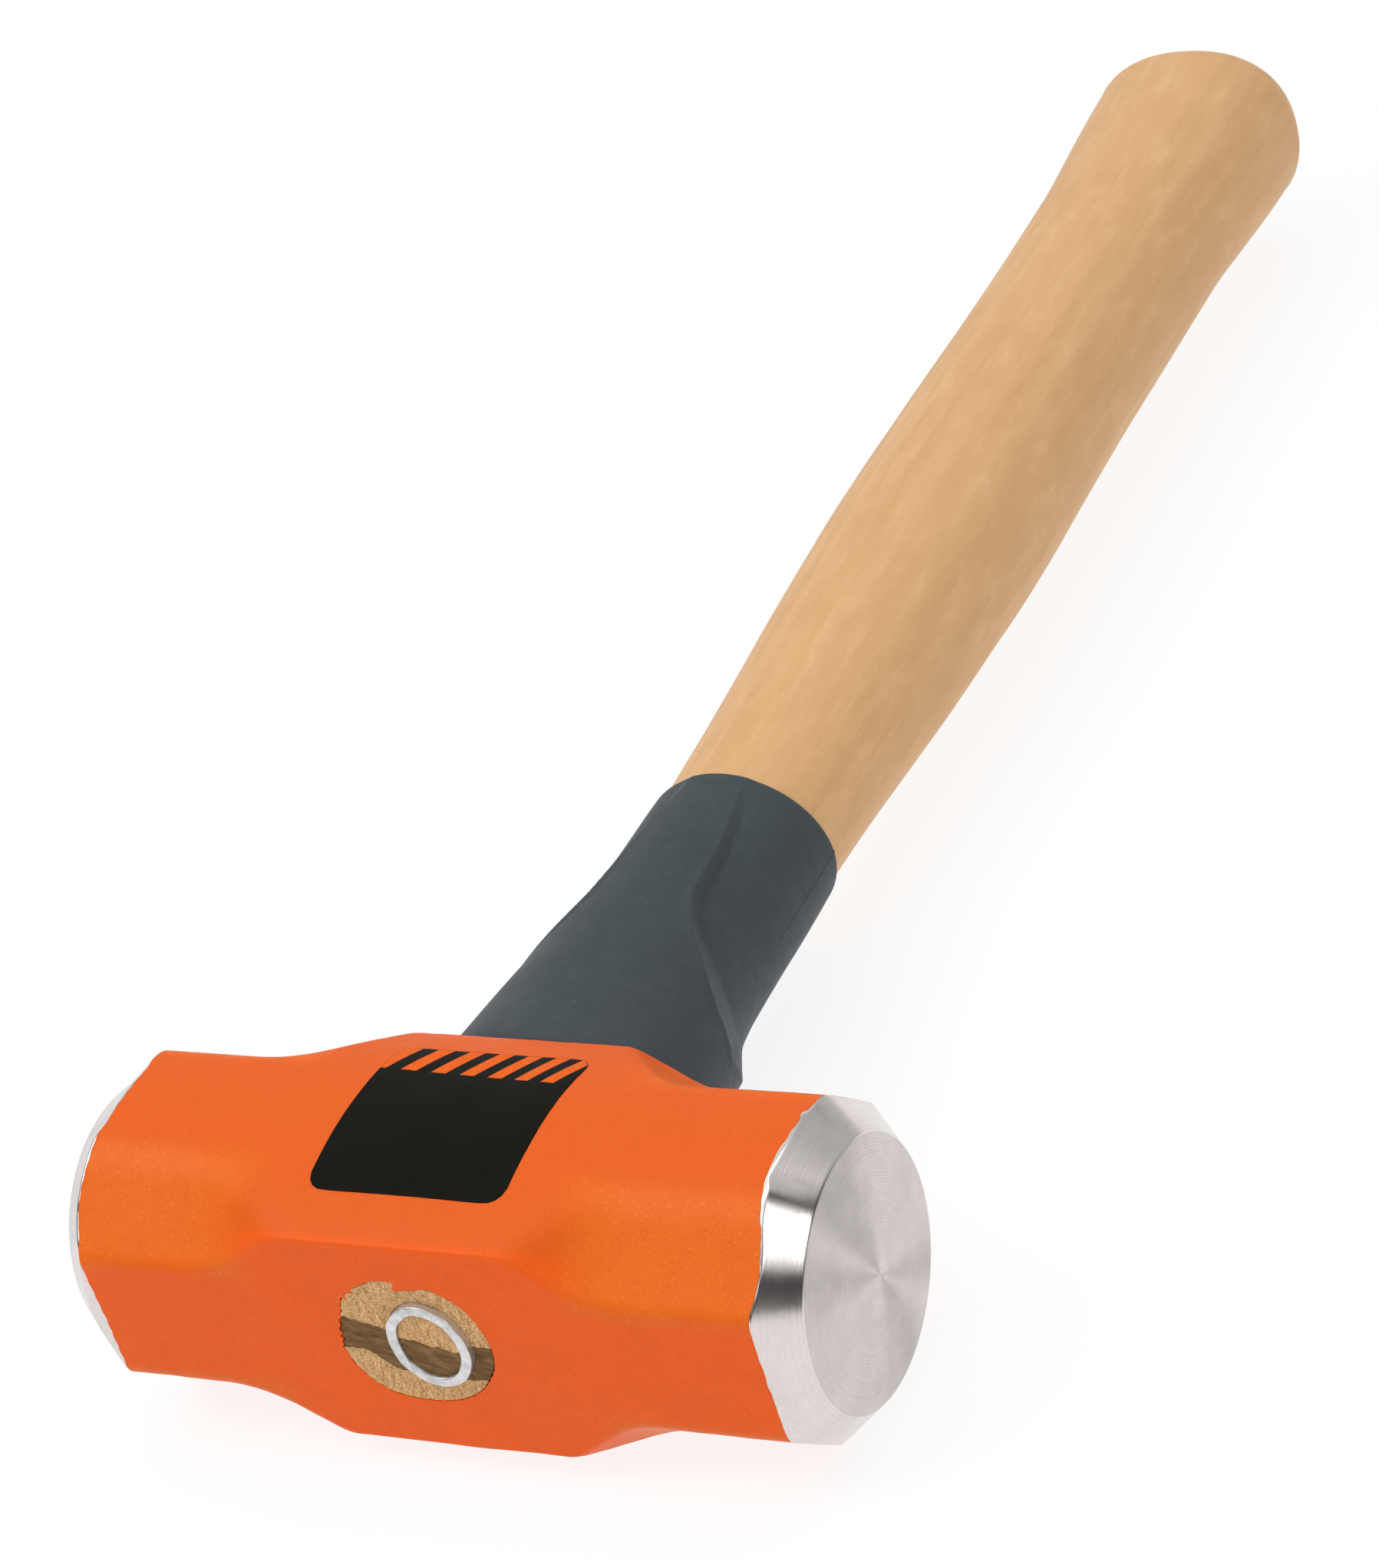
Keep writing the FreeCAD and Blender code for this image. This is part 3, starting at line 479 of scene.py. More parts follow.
def end_grain_material(dark):
    """Sawn end grain; the dark one is the wedge, with streaks along its width."""
    k = Mat("wedge_end_grain" if dark else "tenon_end_grain")
    p = k.shift()
    x, y, z = k.xyz(p)
    if dark:
        # streaks follow the wedge, which lies a little aslant
        u = k.math("ADD", k.math("MULTIPLY", x, 0.97), k.math("MULTIPLY", z, -0.24))
        v = k.math("ADD", k.math("MULTIPLY", z, 0.97), k.math("MULTIPLY", x, 0.24))
        lines = k.noise(k.comb(k.math("MULTIPLY", u, 0.22), y, v), 1500.0, 4.0, 0.68)
        speck = k.noise(k.comb(k.math("MULTIPLY", u, 0.5), y, v), 3200.0, 3.0, 0.7)
        blot = k.noise(p, 300.0, 3.0, 0.6)
        base = k.ramp(lines, [(0.30, (0.090, 0.047, 0.016)), (0.50, (0.190, 0.103, 0.040)),
                              (0.72, (0.320, 0.190, 0.084))])
        base = k.mix(k.rng(speck, 0.52, 0.72, 0.0, 0.45), base, (0.300, 0.185, 0.080))
        base = k.mix(k.rng(speck, 0.30, 0.44, 0.50, 0.0), base, (0.058, 0.030, 0.010))
        base = k.mix(k.rng(blot, 0.52, 0.75, 0.0, 0.30), base, (0.250, 0.150, 0.062))
    else:
        # saw marks run upright, with torn light and dark fibre ends
        lines = k.noise(k.comb(x, y, k.math("MULTIPLY", z, 0.30)), 1900.0, 4.0, 0.68)
        speck = k.noise(p, 3000.0, 3.0, 0.72)
        blot = k.noise(p, 210.0, 3.0, 0.6)
        base = k.ramp(lines, [(0.28, (0.300, 0.150, 0.055)), (0.44, (0.590, 0.325, 0.130)),
                              (0.56, (0.740, 0.430, 0.185)), (0.76, (0.900, 0.610, 0.330))])
        base = k.mix(k.rng(speck, 0.52, 0.66, 0.0, 0.75), base, (0.960, 0.720, 0.450))
        base = k.mix(k.rng(speck, 0.34, 0.47, 0.65, 0.0), base, (0.240, 0.120, 0.042))
        base = k.mix(k.rng(blot, 0.52, 0.74, 0.0, 0.35), base, (0.380, 0.205, 0.080))
    normal = k.bump(speck, 0.00016, 0.7)
    normal = k.bump(lines, 0.00010, 0.5, normal)
    return k.set(color=base, rough=0.75, normal=normal, spec=0.12)


def rubber_material():
    k = Mat("guard_rubber")
    p = k.shift()
    broad = k.noise(p, 60.0, 3.0, 0.55)
    mid = k.noise(p, 420.0, 4.0, 0.65)
    fine = k.noise(p, 2600.0, 2.0, 0.6)
    dust = k.voronoi(p, 330.0)
    base = k.ramp(broad, [(0.3, (0.046, 0.058, 0.064)), (0.7, (0.056, 0.070, 0.078))])
    base = k.mix(k.rng(mid, 0.35, 0.7, 0.0, 0.35), base, (0.038, 0.049, 0.054))
    base = k.mix(k.rng(fine, 0.52, 0.75, 0.0, 0.35), base, (0.076, 0.093, 0.102))
    base = k.mix(k.rng(dust, 0.02, 0.075, 0.55, 0.0), base, (0.120, 0.142, 0.153))
    normal = k.bump(mid, 0.00008, 0.35)
    normal = k.bump(fine, 0.00003, 0.6, normal)
    rough = k.rng(mid, 0.3, 0.7, 0.50, 0.62)
    return k.set(color=base, rough=rough, normal=normal, spec=0.16, sheen=0.05,
                 sheen_rough=0.5, sheen_tint=(0.75, 0.82, 1.0))


def ring_material():
    k = Mat("ring_steel_bright")
    p = k.shift()
    x, y, z = k.xyz(p)
    scr = k.noise(k.comb(x, k.math("MULTIPLY", y, 4.0), z), 900.0, 5.0, 0.7)
    blot = k.noise(p, 420.0, 3.0, 0.6)
    base = k.ramp(scr, [(0.3, (0.50, 0.50, 0.51)), (0.55, (0.72, 0.72, 0.73)), (0.8, (0.86, 0.86, 0.87))])
    base = k.mix(k.rng(blot, 0.45, 0.75, 0.0, 0.30), base, (0.42, 0.42, 0.44))
    normal = k.bump(scr, 0.00006, 0.6)
    return k.set(color=base, metal=0.92, rough=k.rng(blot, 0.3, 0.7, 0.34, 0.48), normal=normal)


def label_material(skew, duty, y_base):
    """Black film with a strip of slanted bars along one side."""
    k = Mat("label_film")
    p = k.shift()
    x, y, z = k.xyz(p)
    scratch = k.noise(k.comb(x, k.math("MULTIPLY", y, 0.15), z), 1300.0, 4.0, 0.7)
    haze = k.noise(p, 130.0, 3.0, 0.6)
    black = k.ramp(haze, [(0.3, (0.0050, 0.0046, 0.0030)), (0.7, (0.0072, 0.0066, 0.0046))])
    black = k.mix(k.rng(scratch, 0.66, 0.80, 0.0, 0.10), black, (0.040, 0.036, 0.030))
    grain = k.noise(p, 1500.0, 3.0, 0.62)
    orange = k.ramp(grain, [(0.35, (0.770, 0.112, 0.0085)), (0.65, (0.830, 0.136, 0.0115))])
    # the strip's base line falls a little to the right
    base_y = k.math("ADD", k.math("MULTIPLY", x, -0.036), y_base)
    up = k.math("SUBTRACT", y, base_y)
    s = k.math("MULTIPLY", k.math("SUBTRACT", x, k.math("MULTIPLY", up, skew)), 1000.0)
    n = k.math("ADD", k.math("MULTIPLY", k.math("MULTIPLY", s, s), 0.00105),
               k.math("ADD", k.math("MULTIPLY", s, 0.2283), 3.0 + 7.0))
    f = k.math("FRACT", n)
    # a bar fills the first part of each pitch
    bar = k.math("ADD", k.rng(f, duty - 0.012, duty + 0.012, 0.0, 1.0), k.rng(f, 0.988, 1.0, 0.0, -1.0))
    strip = k.rng(up, -0.00005, 0.00005, 0.0, 1.0)
    edge = k.add("ShaderNodeAttribute", attribute_name="inset")
    inside = k.rng(edge.outputs["Fac"], 0.10, 0.16, 0.0, 1.0)
    gap = k.math("MULTIPLY", k.math("MULTIPLY", bar, strip), inside)
    gap = k.math("MULTIPLY", gap, k.rng(s, 12.9, 13.3, 1.0, 0.0))
    col = k.mix(gap, black, orange)
    normal = k.bump(grain, 0.00002, 0.35)
    return k.set(color=col, rough=k.rng(haze, 0.3, 0.7, 0.36, 0.48), normal=normal, spec=0.05)


def floor_material():
    k = Mat("pale_floor")
    n = k.noise(k.co, 3.0, 3.0, 0.5)
    col = k.ramp(n, [(0.3, (0.145, 0.145, 0.145)), (0.7, (0.155, 0.155, 0.155))])
    k.b.inputs["Emission Color"].default_value = (1, 1, 1, 1)
    k.b.inputs["Emission Strength"].default_value = 0.86
    return k.set(color=col, rough=0.9, spec=0.02)


PAINT = paint_material()
STEEL = steel_material("turned_steel", False)
FACE = steel_material("faced_steel", True)
WOOD = wood_material()
GRAIN = end_grain_material(False)
WEDGE = end_grain_material(True)
RUBBER = rubber_material()
RING = ring_material()

# -------------------------------------------------------------------- head
RIM_X, RIM_R, CROWN = 56.2, 18.2, 1.6
SIDE, CHEEK, CHEEK_R = 21.1, 22.0, 52.8
BEVEL = 22.25


def runout_height(x):
    """Distance of the 45 degree bevels from the axis along the head."""
    out = np.zeros_like(x)
    for sign, foot, deg, r in ((-1, 29.9, 23.0, 28.0), (1, 27.6, 27.5, 17.0)):
        ang = math.radians(deg)
        t = r * math.tan(ang / 2)
        s = x * sign
        line = BEVEL + (foot - s) * math.tan(ang)
        d = np.clip((foot + t) - s, 0, t + t * math.cos(ang))
        arc = BEVEL + r - np.sqrt(np.clip(r * r - d * d, 1e-9, None))
        h = np.where(s > foot + t, BEVEL, np.where(s > foot - t * math.cos(ang), arc, line))
        out = np.where((x * sign) >= 0, h, out)
    return out


def section_radius(x, phi):
    """Radius of the head at x in direction phi; phi 0 is +Y and 90 degrees +Z."""
    c, s = np.cos(phi), np.sin(phi)
    D = runout_height(x)
    # the ridge between the labelled cheek and the eye side is the softest
    near = 0.8 + 1.7 * np.exp(-(((np.degrees(phi) % 360.0) - 118.0) / 22.0) ** 2)
    lo, hi = np.full(x.shape, 15.0), np.full(x.shape, 36.0)
    for _ in range(26):
        r = (lo + hi) / 2
        y, z = np.abs(r * c), np.abs(r * s)
        cheek = np.sqrt(y * y + (z + CHEEK_R - CHEEK) ** 2) - CHEEK_R
        side = y - SIDE
        bev = (y + z) / math.sqrt(2) - D
        # the cheek runs softly into the bevels, the sides more crisply
        f = smax(smax(side, bev, 1.0), smax(cheek, bev, near), 0.3)
        hi = np.where(f > 0, r, hi)
        lo = np.where(f > 0, lo, r)
    return (lo + hi) / 2


edge_right = periodic([(0, 50.9), (26, 51.1), (45, 51.9), (62, 51.2), (80, 50.6), (100, 50.3), (117, 51.0),
                       (126, 51.6), (137, 51.9), (147, 51.5), (154, 50.95), (166, 50.7), (190, 50.7),
                       (206, 50.8), (225, 51.7), (243, 51.0), (270, 50.5), (297, 51.1), (315, 51.9), (334, 51.1)])
edge_left = periodic([(0, 50.8), (26, 51.0), (45, 51.8), (63, 51.1), (90, 50.6), (117, 51.1), (135, 51.8),
                      (154, 51.0), (180, 50.8), (206, 51.0), (225, 51.8), (243, 51.0), (270, 50.6),
                      (297, 51.0), (315, 51.8), (334, 51.0)])
rag_r, rag_l = ring_noise(11, 14, 5, 60), ring_noise(12, 14, 5, 60)

NPHI = 720
phi = np.arange(NPHI) / NPHI * 2 * np.pi
deg = np.degrees(phi)
xr = edge_right(deg) + 0.06 * rag_r(phi)
# a small notch where the paint meets the turned end on the upper cheek
xr -= 0.55 * np.exp(-((deg - 76.0) / 1.8) ** 2)
xl = -(edge_left(deg) + 0.07 * rag_l(phi))
dent = waves(5, 26, 9.0, 34.0)
fine_dent = waves(6, 30, 2.2, 6.0)


def head_point(x, ph, r):
    return np.stack([x, r * np.cos(ph), r * np.sin(ph)], -1)


rings, kinds = [], []      # kinds[i]: material of the strip that starts at ring i
PAINT_I, STEEL_I, FACE_I = 0, 1, 2


slope = periodic([(0, 0.84), (14, 0.86), (23, 0.95), (30, 0.962), (45, 0.953), (60, 0.962), (67, 0.95), (76, 0.74),
                  (90, 0.70), (104, 0.74), (113, 0.95), (120, 0.962), (135, 0.953), (150, 0.962), (157, 0.95),
                  (166, 0.86), (180, 0.84), (194, 0.86), (203, 0.95), (210, 0.962), (225, 0.953), (240, 0.962),
                  (247, 0.95), (256, 0.87), (270, 0.85), (284, 0.87), (293, 0.95), (300, 0.962), (315, 0.953),
                  (330, 0.962), (337, 0.95), (346, 0.86)])(deg)


def cone_radius(x, phi_):
    """Turned cone, cut into the flats of the bar."""
    cone = RIM_R + (RIM_X - np.abs(x)) * slope
    bar = section_radius(x, phi_) - 0.06
    return -smax(-cone, -bar, 0.16)


def end_rings(sign, x_edge):
    """Rings from the paint edge to the middle of one striking face."""
    out = []
    for t in np.concatenate([[0.004], np.linspace(0.015, 0.95, 60)]):
        x = x_edge + (sign * RIM_X - x_edge) * t
        out.append((STEEL_I, x, cone_radius(x, phi)))
    # turned corner between cone and face, slightly rounded
    x0 = x_edge + (sign * RIM_X - x_edge) * 0.95
    r0 = cone_radius(x0, phi)
    x2 = sign * (RIM_X + CROWN * (1 - ((RIM_R - 0.30) / RIM_R) ** 2))
    for t in np.linspace(0.15, 1.0, 8):
        bx = (1 - t) ** 2 * x0 + 2 * t * (1 - t) * sign * RIM_X + t * t * x2
        br = (1 - t) ** 2 * r0 + 2 * t * (1 - t) * RIM_R + t * t * (RIM_R - 0.30)
        out.append((STEEL_I if t < 0.5 else FACE_I, bx + 0 * phi, br + 0 * phi))
    for rr in np.concatenate([np.linspace(RIM_R - 0.6, 1.0, 46), [0.6, 0.3, 0.12]]):
        out.append((FACE_I, sign * (RIM_X + CROWN * (1 - (rr / RIM_R) ** 2)) + 0 * phi, rr + 0 * phi))
    return out


left = end_rings(-1, xl)
right = end_rings(1, xr)
for kind, x, r in left[::-1]:
    rings.append(head_point(x, phi, r))
    kinds.append(kind)
NX = 430
for t in np.linspace(0, 1, NX):
    x = xl + (xr - xl) * t
    r = -smax(-section_radius(x, phi), -(RIM_R + 0.06 + (RIM_X - np.abs(x)) * slope), 0.16)
    P = head_point(x, phi, r)
    fade = min(1.0, min(t, 1 - t) * 22)
    d = (0.055 * dent(P) + 0.012 * fine_dent(P)) * fade - 0.05
    if t in (0.0, 1.0):
        d = 0 * d - 0.02
    P = head_point(x, phi, r + d)
    rings.append(P)
    kinds.append(PAINT_I)
for kind, x, r in right:
    rings.append(head_point(x, phi, r))
    kinds.append(kind)
kinds[len(left) + NX - 1] = STEEL_I
kinds[len(left) - 1] = STEEL_I
P = np.array(rings)
head = rings_mesh("head_forged", P, [PAINT, STEEL, FACE],
                  start=(-(RIM_X + CROWN), 0, 0), end=(RIM_X + CROWN, 0, 0), strip_mat=kinds, flip=True)

# eye: an oval hole with a torn paint edge on the left and a chip of paint above
EX, EZ, EA, EB = -1.1, 0.9, 11.75, 10.5
EYE = [(10.63, 1.0), (10.25, 4.0), (9.25, 6.75), (7.75, 8.63), (5.25, 10.25), (3.75, 10.68), (3.0, 10.72),
       (2.38, 10.45), (1.5, 10.25), (0.0, 10.25), (-1.0, 9.88), (-1.3, 10.2), (-1.0, 10.75), (-0.55, 11.45),
       (-2.5, 11.56), (-4.25, 11.35), (-6.0, 10.55), (-7.25, 9.95), (-8.05, 9.5), (-7.95, 8.70), (-8.5, 8.95),
       (-9.4, 8.45), (-9.2, 7.50), (-9.88, 7.88), (-10.63, 6.5), (-10.88, 5.38), (-11.38, 4.63), (-11.05, 4.13),
       (-11.8, 3.88), (-11.88, 2.75), (-12.5, 1.75), (-12.05, 1.35), (-12.7, 0.75), (-12.2, 0.25), (-12.8, -0.38),
       (-12.4, -0.75), (-13.0, -1.25), (-12.65, -2.0), (-12.38, -3.25), (-11.75, -4.75), (-10.75, -6.25),
       (-9.5, -7.5), (-7.75, -8.63), (-4.75, -9.38), (-1.0, -9.53), (2.75, -8.88), (6.0, -7.25), (8.5, -4.75),
       (10.13, -2.0)]


def closed_curve(points, step, rounding):
    """Closed line through points, evenly spaced, with its corners eased."""
    p = np.array(points, float)
    out = []
    n = len(p)
    for i in range(n):
        p0, p1, p2, p3 = p[i - 1], p[i], p[(i + 1) % n], p[(i + 2) % n]
        L = np.hypot(*(p2 - p1))
        k = max(2, int(L / step))
        smooth_part = L > 1.4
        for t in np.arange(k) / k:
            if smooth_part:
                out.append(0.5 * (2 * p1 + (p2 - p0) * t + (2 * p0 - 5 * p1 + 4 * p2 - p3) * t * t
                                  + (3 * p1 - p0 - 3 * p2 + p3) * t ** 3))
            else:
                out.append(p1 + (p2 - p1) * t)
    q = np.array(out)
    for _ in range(rounding):
        q = (np.roll(q, 1, 0) + 2 * q + np.roll(q, -1, 0)) / 4
    return q


def eye_outline(grow, seed, rag):
    q = closed_curve(EYE, 0.16, 2)
    c = np.array([EX, EZ])
    a = np.arctan2(q[:, 1] - EZ, q[:, 0] - EX)
    d = q - c
    r = np.hypot(d[:, 0], d[:, 1])
    return c + d * ((r + grow + rag * ring_noise(seed, 16, 12, 60)(a)) / r)[:, None]


def prism(name, outline, y0, y1, mats):
    n = len(outline)
    A = np.stack([outline[:, 0], np.full(n, y0), outline[:, 1]], -1)
    B = np.stack([outline[:, 0], np.full(n, y1), outline[:, 1]], -1)
    quads = np.stack([np.arange(n), (np.arange(n) + 1) % n, n + (np.arange(n) + 1) % n, n + np.arange(n)], -1)
    loops = np.concatenate([quads.ravel(), np.arange(n)[::-1], n + np.arange(n)])
    totals = np.concatenate([np.full(n, 4), [n, n]])
    starts = np.concatenate([[0], np.cumsum(totals)[:-1]])
    # the outline's turn decides which way the faces look
    x, z = outline[:, 0], outline[:, 1]
    turn = float((x * np.roll(z, -1) - np.roll(x, -1) * z).sum())
    obj = new_mesh(name, np.concatenate([A, B]), loops, starts, totals, mats, flat=True, closed=False)
    if turn > 0:
        obj.data.flip_normals()
        obj.data.update()
    return obj


cut(head, prism("eye_cutter", eye_outline(0.0, 21, 0.05), -30.0, 30.0, [PAINT]))
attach(head, "root")
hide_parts("hammer_head")

# ------------------------------------------------------------------ handle
GRIP = [(21.1, 14.6, 12.9), (88, 14.25, 12.6), (95, 14.5, 12.72), (102, 14.75, 12.93), (109, 15.1, 13.25),
        (116, 15.5, 13.6), (123, 15.9, 13.95), (130, 16.3, 14.3), (137, 16.6, 14.55), (144, 16.85, 14.75),
        (151, 17.05, 14.95), (158, 17.3, 15.15), (165, 17.38, 15.25), (172, 17.4, 15.27), (186, 17.25, 15.15),
        (200, 17.12, 15.0), (214, 17.0, 14.9), (228, 17.0, 14.9), (243, 17.05, 14.97), (257, 17.2, 15.1),
        (264, 17.5, 15.35), (271, 17.85, 15.65), (278, 18.15, 15.9), (285, 18.35, 16.08), (292, 18.45, 16.15),
        (300.4, 18.5, 16.2)]
g = np.array(GRIP)
ga, gb = pchip(g[:, 0], g[:, 1]), pchip(g[:, 0], g[:, 2])
BUTT, ROUND = 300.4, 8.6
N2 = 360
th = np.arange(N2) / N2 * 2 * np.pi


def superellipse(a, b, n, t):
    c, s = np.cos(t), np.sin(t)
    k = (np.abs(c) ** n + np.abs(s) ** n) ** (-1 / n)
    return a * k * c, b * k * s


wob = waves(31, 16, 30, 120)
rows = []
ys = np.concatenate([np.linspace(30, BUTT - ROUND, 300)])
for y in ys:
    n = 2.0 + 0.28 * float(smooth((y - 255) / 45))
    X, Z = superellipse(float(ga(y)), float(gb(y)), n, th)
    rows.append(np.stack([X, np.full(N2, y), Z], -1))
for q in np.linspace(0, math.pi / 2, 30)[1:-1]:
    y = BUTT - ROUND + ROUND * math.sin(q)
    less = ROUND * (1 - math.cos(q))
    X, Z = superellipse(float(ga(BUTT)) - less, float(gb(BUTT)) - less, 2.28, th)
    rows.append(np.stack([X, np.full(N2, y), Z], -1))
for f in np.linspace(1, 0.08, 16):
    X, Z = superellipse((float(ga(BUTT)) - ROUND) * f, (float(gb(BUTT)) - ROUND) * f, 2.28, th)
    rows.append(np.stack([X, np.full(N2, BUTT - 0.15 * (f ** 2)), Z], -1))
P = np.array(rows)
P[..., 0] += 0.10 * wob(P)
handle = rings_mesh("handle_grip", P, [WOOD, GRAIN], start=(0, 30, 0), end=(0, BUTT, 0))

# tenon with the kerf and the ring slot
tenon = prism("handle_tenon", eye_outline(-0.10, 22, 0.04), -20.97, 31.0, [GRAIN])

BAND_TOP = [(-14.0, 5.0), (-12.5, 4.75), (-10.6, 4.35), (-8.5, 3.75), (-5.5, 2.9), (-2.7, 2.25), (-0.5, 1.75),
            (2.75, 1.0), (5.2, 0.45), (7.4, 1.2), (10.0, 1.0), (12.0, 0.8)]
BAND_LOW = [(-14.0, -1.2), (-12.7, -1.15), (-10.6, -1.2), (-9.2, -1.4), (-7.75, -2.5), (-5.5, -4.1), (-3.5, -4.5),
            (-1.0, -4.6), (2.0, -4.75), (5.0, -5.1), (8.0, -4.9), (10.0, -4.1), (12.0, -3.6)]


def wedge_outline(grow, seed):
    """Wedge seen along the handle axis; its straight ends reach just past the eye wall, which trims them."""
    u = np.linspace(-13.6, 11.6, 170)
    f, g2 = waves(seed, 14, 0.6, 4.0), waves(seed + 1, 14, 0.6, 4.0)
    pu = np.stack([u, 0 * u, 0 * u], -1)
    up = pchip(*zip(*BAND_TOP))(u) + 0.12 * f(pu) + grow
    lo = pchip(*zip(*BAND_LOW))(u) + 0.12 * g2(pu) - grow
    q = np.concatenate([np.stack([u, up], -1), np.stack([u, lo], -1)[::-1]])
    return q


wo = wedge_outline(0.05, 41)
cut(tenon, prism("kerf_cutter", wo, -22.0, 6.0, [WEDGE]))
RX, RZ = 1.65, 1.2
OVAL = ((6.05, 7.0), (4.5, 5.5))


def tube(name, grow, y0, y1, mats, edge=0.25, wobble=0.0, n=240):
    """Oval ring; the profile runs from the inner wall over the end to the outer wall."""
    t = np.arange(n) / n * 2 * np.pi
    (oa, ob), (ia, ib) = OVAL
    prof = [(-1, grow, y1), (-1, grow, (y0 + y1) / 2), (-1, grow, y0 + edge)]
    for q in np.linspace(0, math.pi / 2, 6)[1:]:
        prof.append((-1, grow - edge * (1 - math.cos(q)), y0 + edge * (1 - math.sin(q))))
    for q in np.linspace(math.pi / 2, 0, 6)[0:-1]:
        prof.append((1, grow - edge * (1 - math.cos(q)), y0 + edge * (1 - math.sin(q))))
    prof += [(1, grow, y0 + edge), (1, grow, y0 + 1.2), (1, grow, (y0 + y1) / 2), (1, grow, y1)]
    f1, f2 = ring_noise(51, 8, 2, 14), ring_noise(52, 8, 2, 20)
    R = []
    for side, g_, y in prof:
        a_, b_ = (oa + g_, ob + g_) if side > 0 else (ia - g_, ib - g_)
        w_ = wobble * 0.06 * f1(t)
        near = math.exp(-abs(y - y0) / 1.5)
        R.append(np.stack([RX + (a_ + w_) * np.cos(t), y + wobble * 0.03 * near * f2(t),
                           RZ + (b_ + w_) * np.sin(t)], -1))
    return rings_mesh(name, np.array(R), mats, flip=False, loop_u=True)


cut(tenon, tube("slot_cutter", 0.05, -22.6, -9.05, [GRAIN]))


def push_core(obj, out=0.7):
    """Wood inside the ring stands a little proud, squeezed out by the ring."""
    me = obj.data
    v = np.empty(len(me.vertices) * 3, np.float32)
    me.vertices.foreach_get("co", v)
    v = v.reshape(-1, 3)
    p = (v - CENTRE) * 1000
    core = (p[:, 1] < -20.4) & (((p[:, 0] - RX) / OVAL[1][0]) ** 2 + ((p[:, 2] - RZ) / OVAL[1][1]) ** 2 < 1.03)
    v[core, 1] -= out / 1000
    me.vertices.foreach_set("co", v.ravel())
    me.update()


push_core(tenon)
merge(handle, tenon)
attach(handle, "root")
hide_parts("wooden_handle")

wedge = prism("wedge_cross", wedge_outline(0.0, 41), -20.90, 5.5, [WEDGE])
cut(wedge, prism("wall", eye_outline(-0.18, 22, 0.04), -28.0, 12.0, [WEDGE]), keep="INTERSECT")
cut(wedge, tube("slot_cutter_b", 0.05, -22.6, -9.05, [WEDGE]))
push_core(wedge)
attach(wedge, "root")
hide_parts("cross_wedge")

ring = tube("wedge_ring", 0.0, -22.06, -9.1, [RING], 0.22, 1.0)
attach(ring, "root")
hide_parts("ring_wedge")

# ------------------------------------------------------------------- guard
shield = np.array([(21.1, 21.0, 17.3), (25, 20.75, 17.25), (29, 20.3, 17.0), (34, 19.7, 16.7), (40, 18.9, 16.3),
                   (46, 18.1, 15.9), (52, 17.4, 15.55), (58, 16.8, 15.2), (64, 16.4, 14.9), (72, 16.05, 14.5),
                   (80, 15.45, 14.0), (88, 15.1, 13.6)])
tube_st = np.array([(21.1, 21.0, 16.6), (29, 20.2, 16.0), (35, 19.3, 15.6), (40, 18.1, 15.1), (44, 17.0, 14.75),
                    (48, 16.15, 14.4), (52, 15.6, 14.1), (56, 15.3, 13.85), (62, 15.15, 13.65), (70, 15.1, 13.6),
                    (80, 15.1, 13.55), (88, 15.0, 13.5)])
sa, sb = pchip(shield[:, 0], shield[:, 1]), pchip(shield[:, 0], shield[:, 2])
ta, tb = pchip(tube_st[:, 0], tube_st[:, 1]), pchip(tube_st[:, 0], tube_st[:, 2])
# crease: height above the head over the angle from the side, symmetric
ca = np.array([-5.5, 0, 3.9, 13.5, 23.0, 31.2, 39.2, 46.8, 52.7, 57.5, 60.9, 62.4, 63.5, 65.7, 67.9, 69.8, 71.6, 73.5])
cy = np.array([39.0, 39.0, 39.5, 40.7, 42.1, 44.3, 46.9, 49.7, 52.0, 54.7, 57.7, 62.1, 69.2, 73.3, 76.7, 79.6, 82.7, 88.0])
crease_pts = np.stack([np.interp(np.linspace(0, 1, 900), np.linspace(0, 1, len(ca)), ca),
                       np.interp(np.linspace(0, 1, 900), np.linspace(0, 1, len(cy)), cy)], -1)
for _ in range(60):
    crease_pts[1:-1] = (crease_pts[:-2] + 2 * crease_pts[1:-1] + crease_pts[2:]) / 4


def crease_distance(a_deg, y):
    """Signed distance in mm from the crease, positive on the side panel."""
    A = np.abs(a_deg)
    pts = np.stack([crease_pts[:, 0] * 0.262, crease_pts[:, 1]], -1)
    q = np.stack([A * 0.262, y], -1)
    seg = pts[1:] - pts[:-1]
    best = np.full(A.shape, 1e9)
    sign = np.ones(A.shape)
    L2 = (seg ** 2).sum(-1)
    for i in range(0, len(seg), 6):
        p0, p1 = pts[i], pts[min(i + 6, len(pts) - 1)]
        s = p1 - p0
        t = np.clip(((q - p0) @ s) / (s @ s), 0, 1)
        d = q - (p0 + t[..., None] * s)
        dd = np.hypot(d[..., 0], d[..., 1])
        side = s[0] * d[..., 1] - s[1] * d[..., 0]
        upd = dd < best
        best = np.where(upd, dd, best)
        sign = np.where(upd, np.where(side > 0, 1.0, -1.0), sign)
    return best * sign


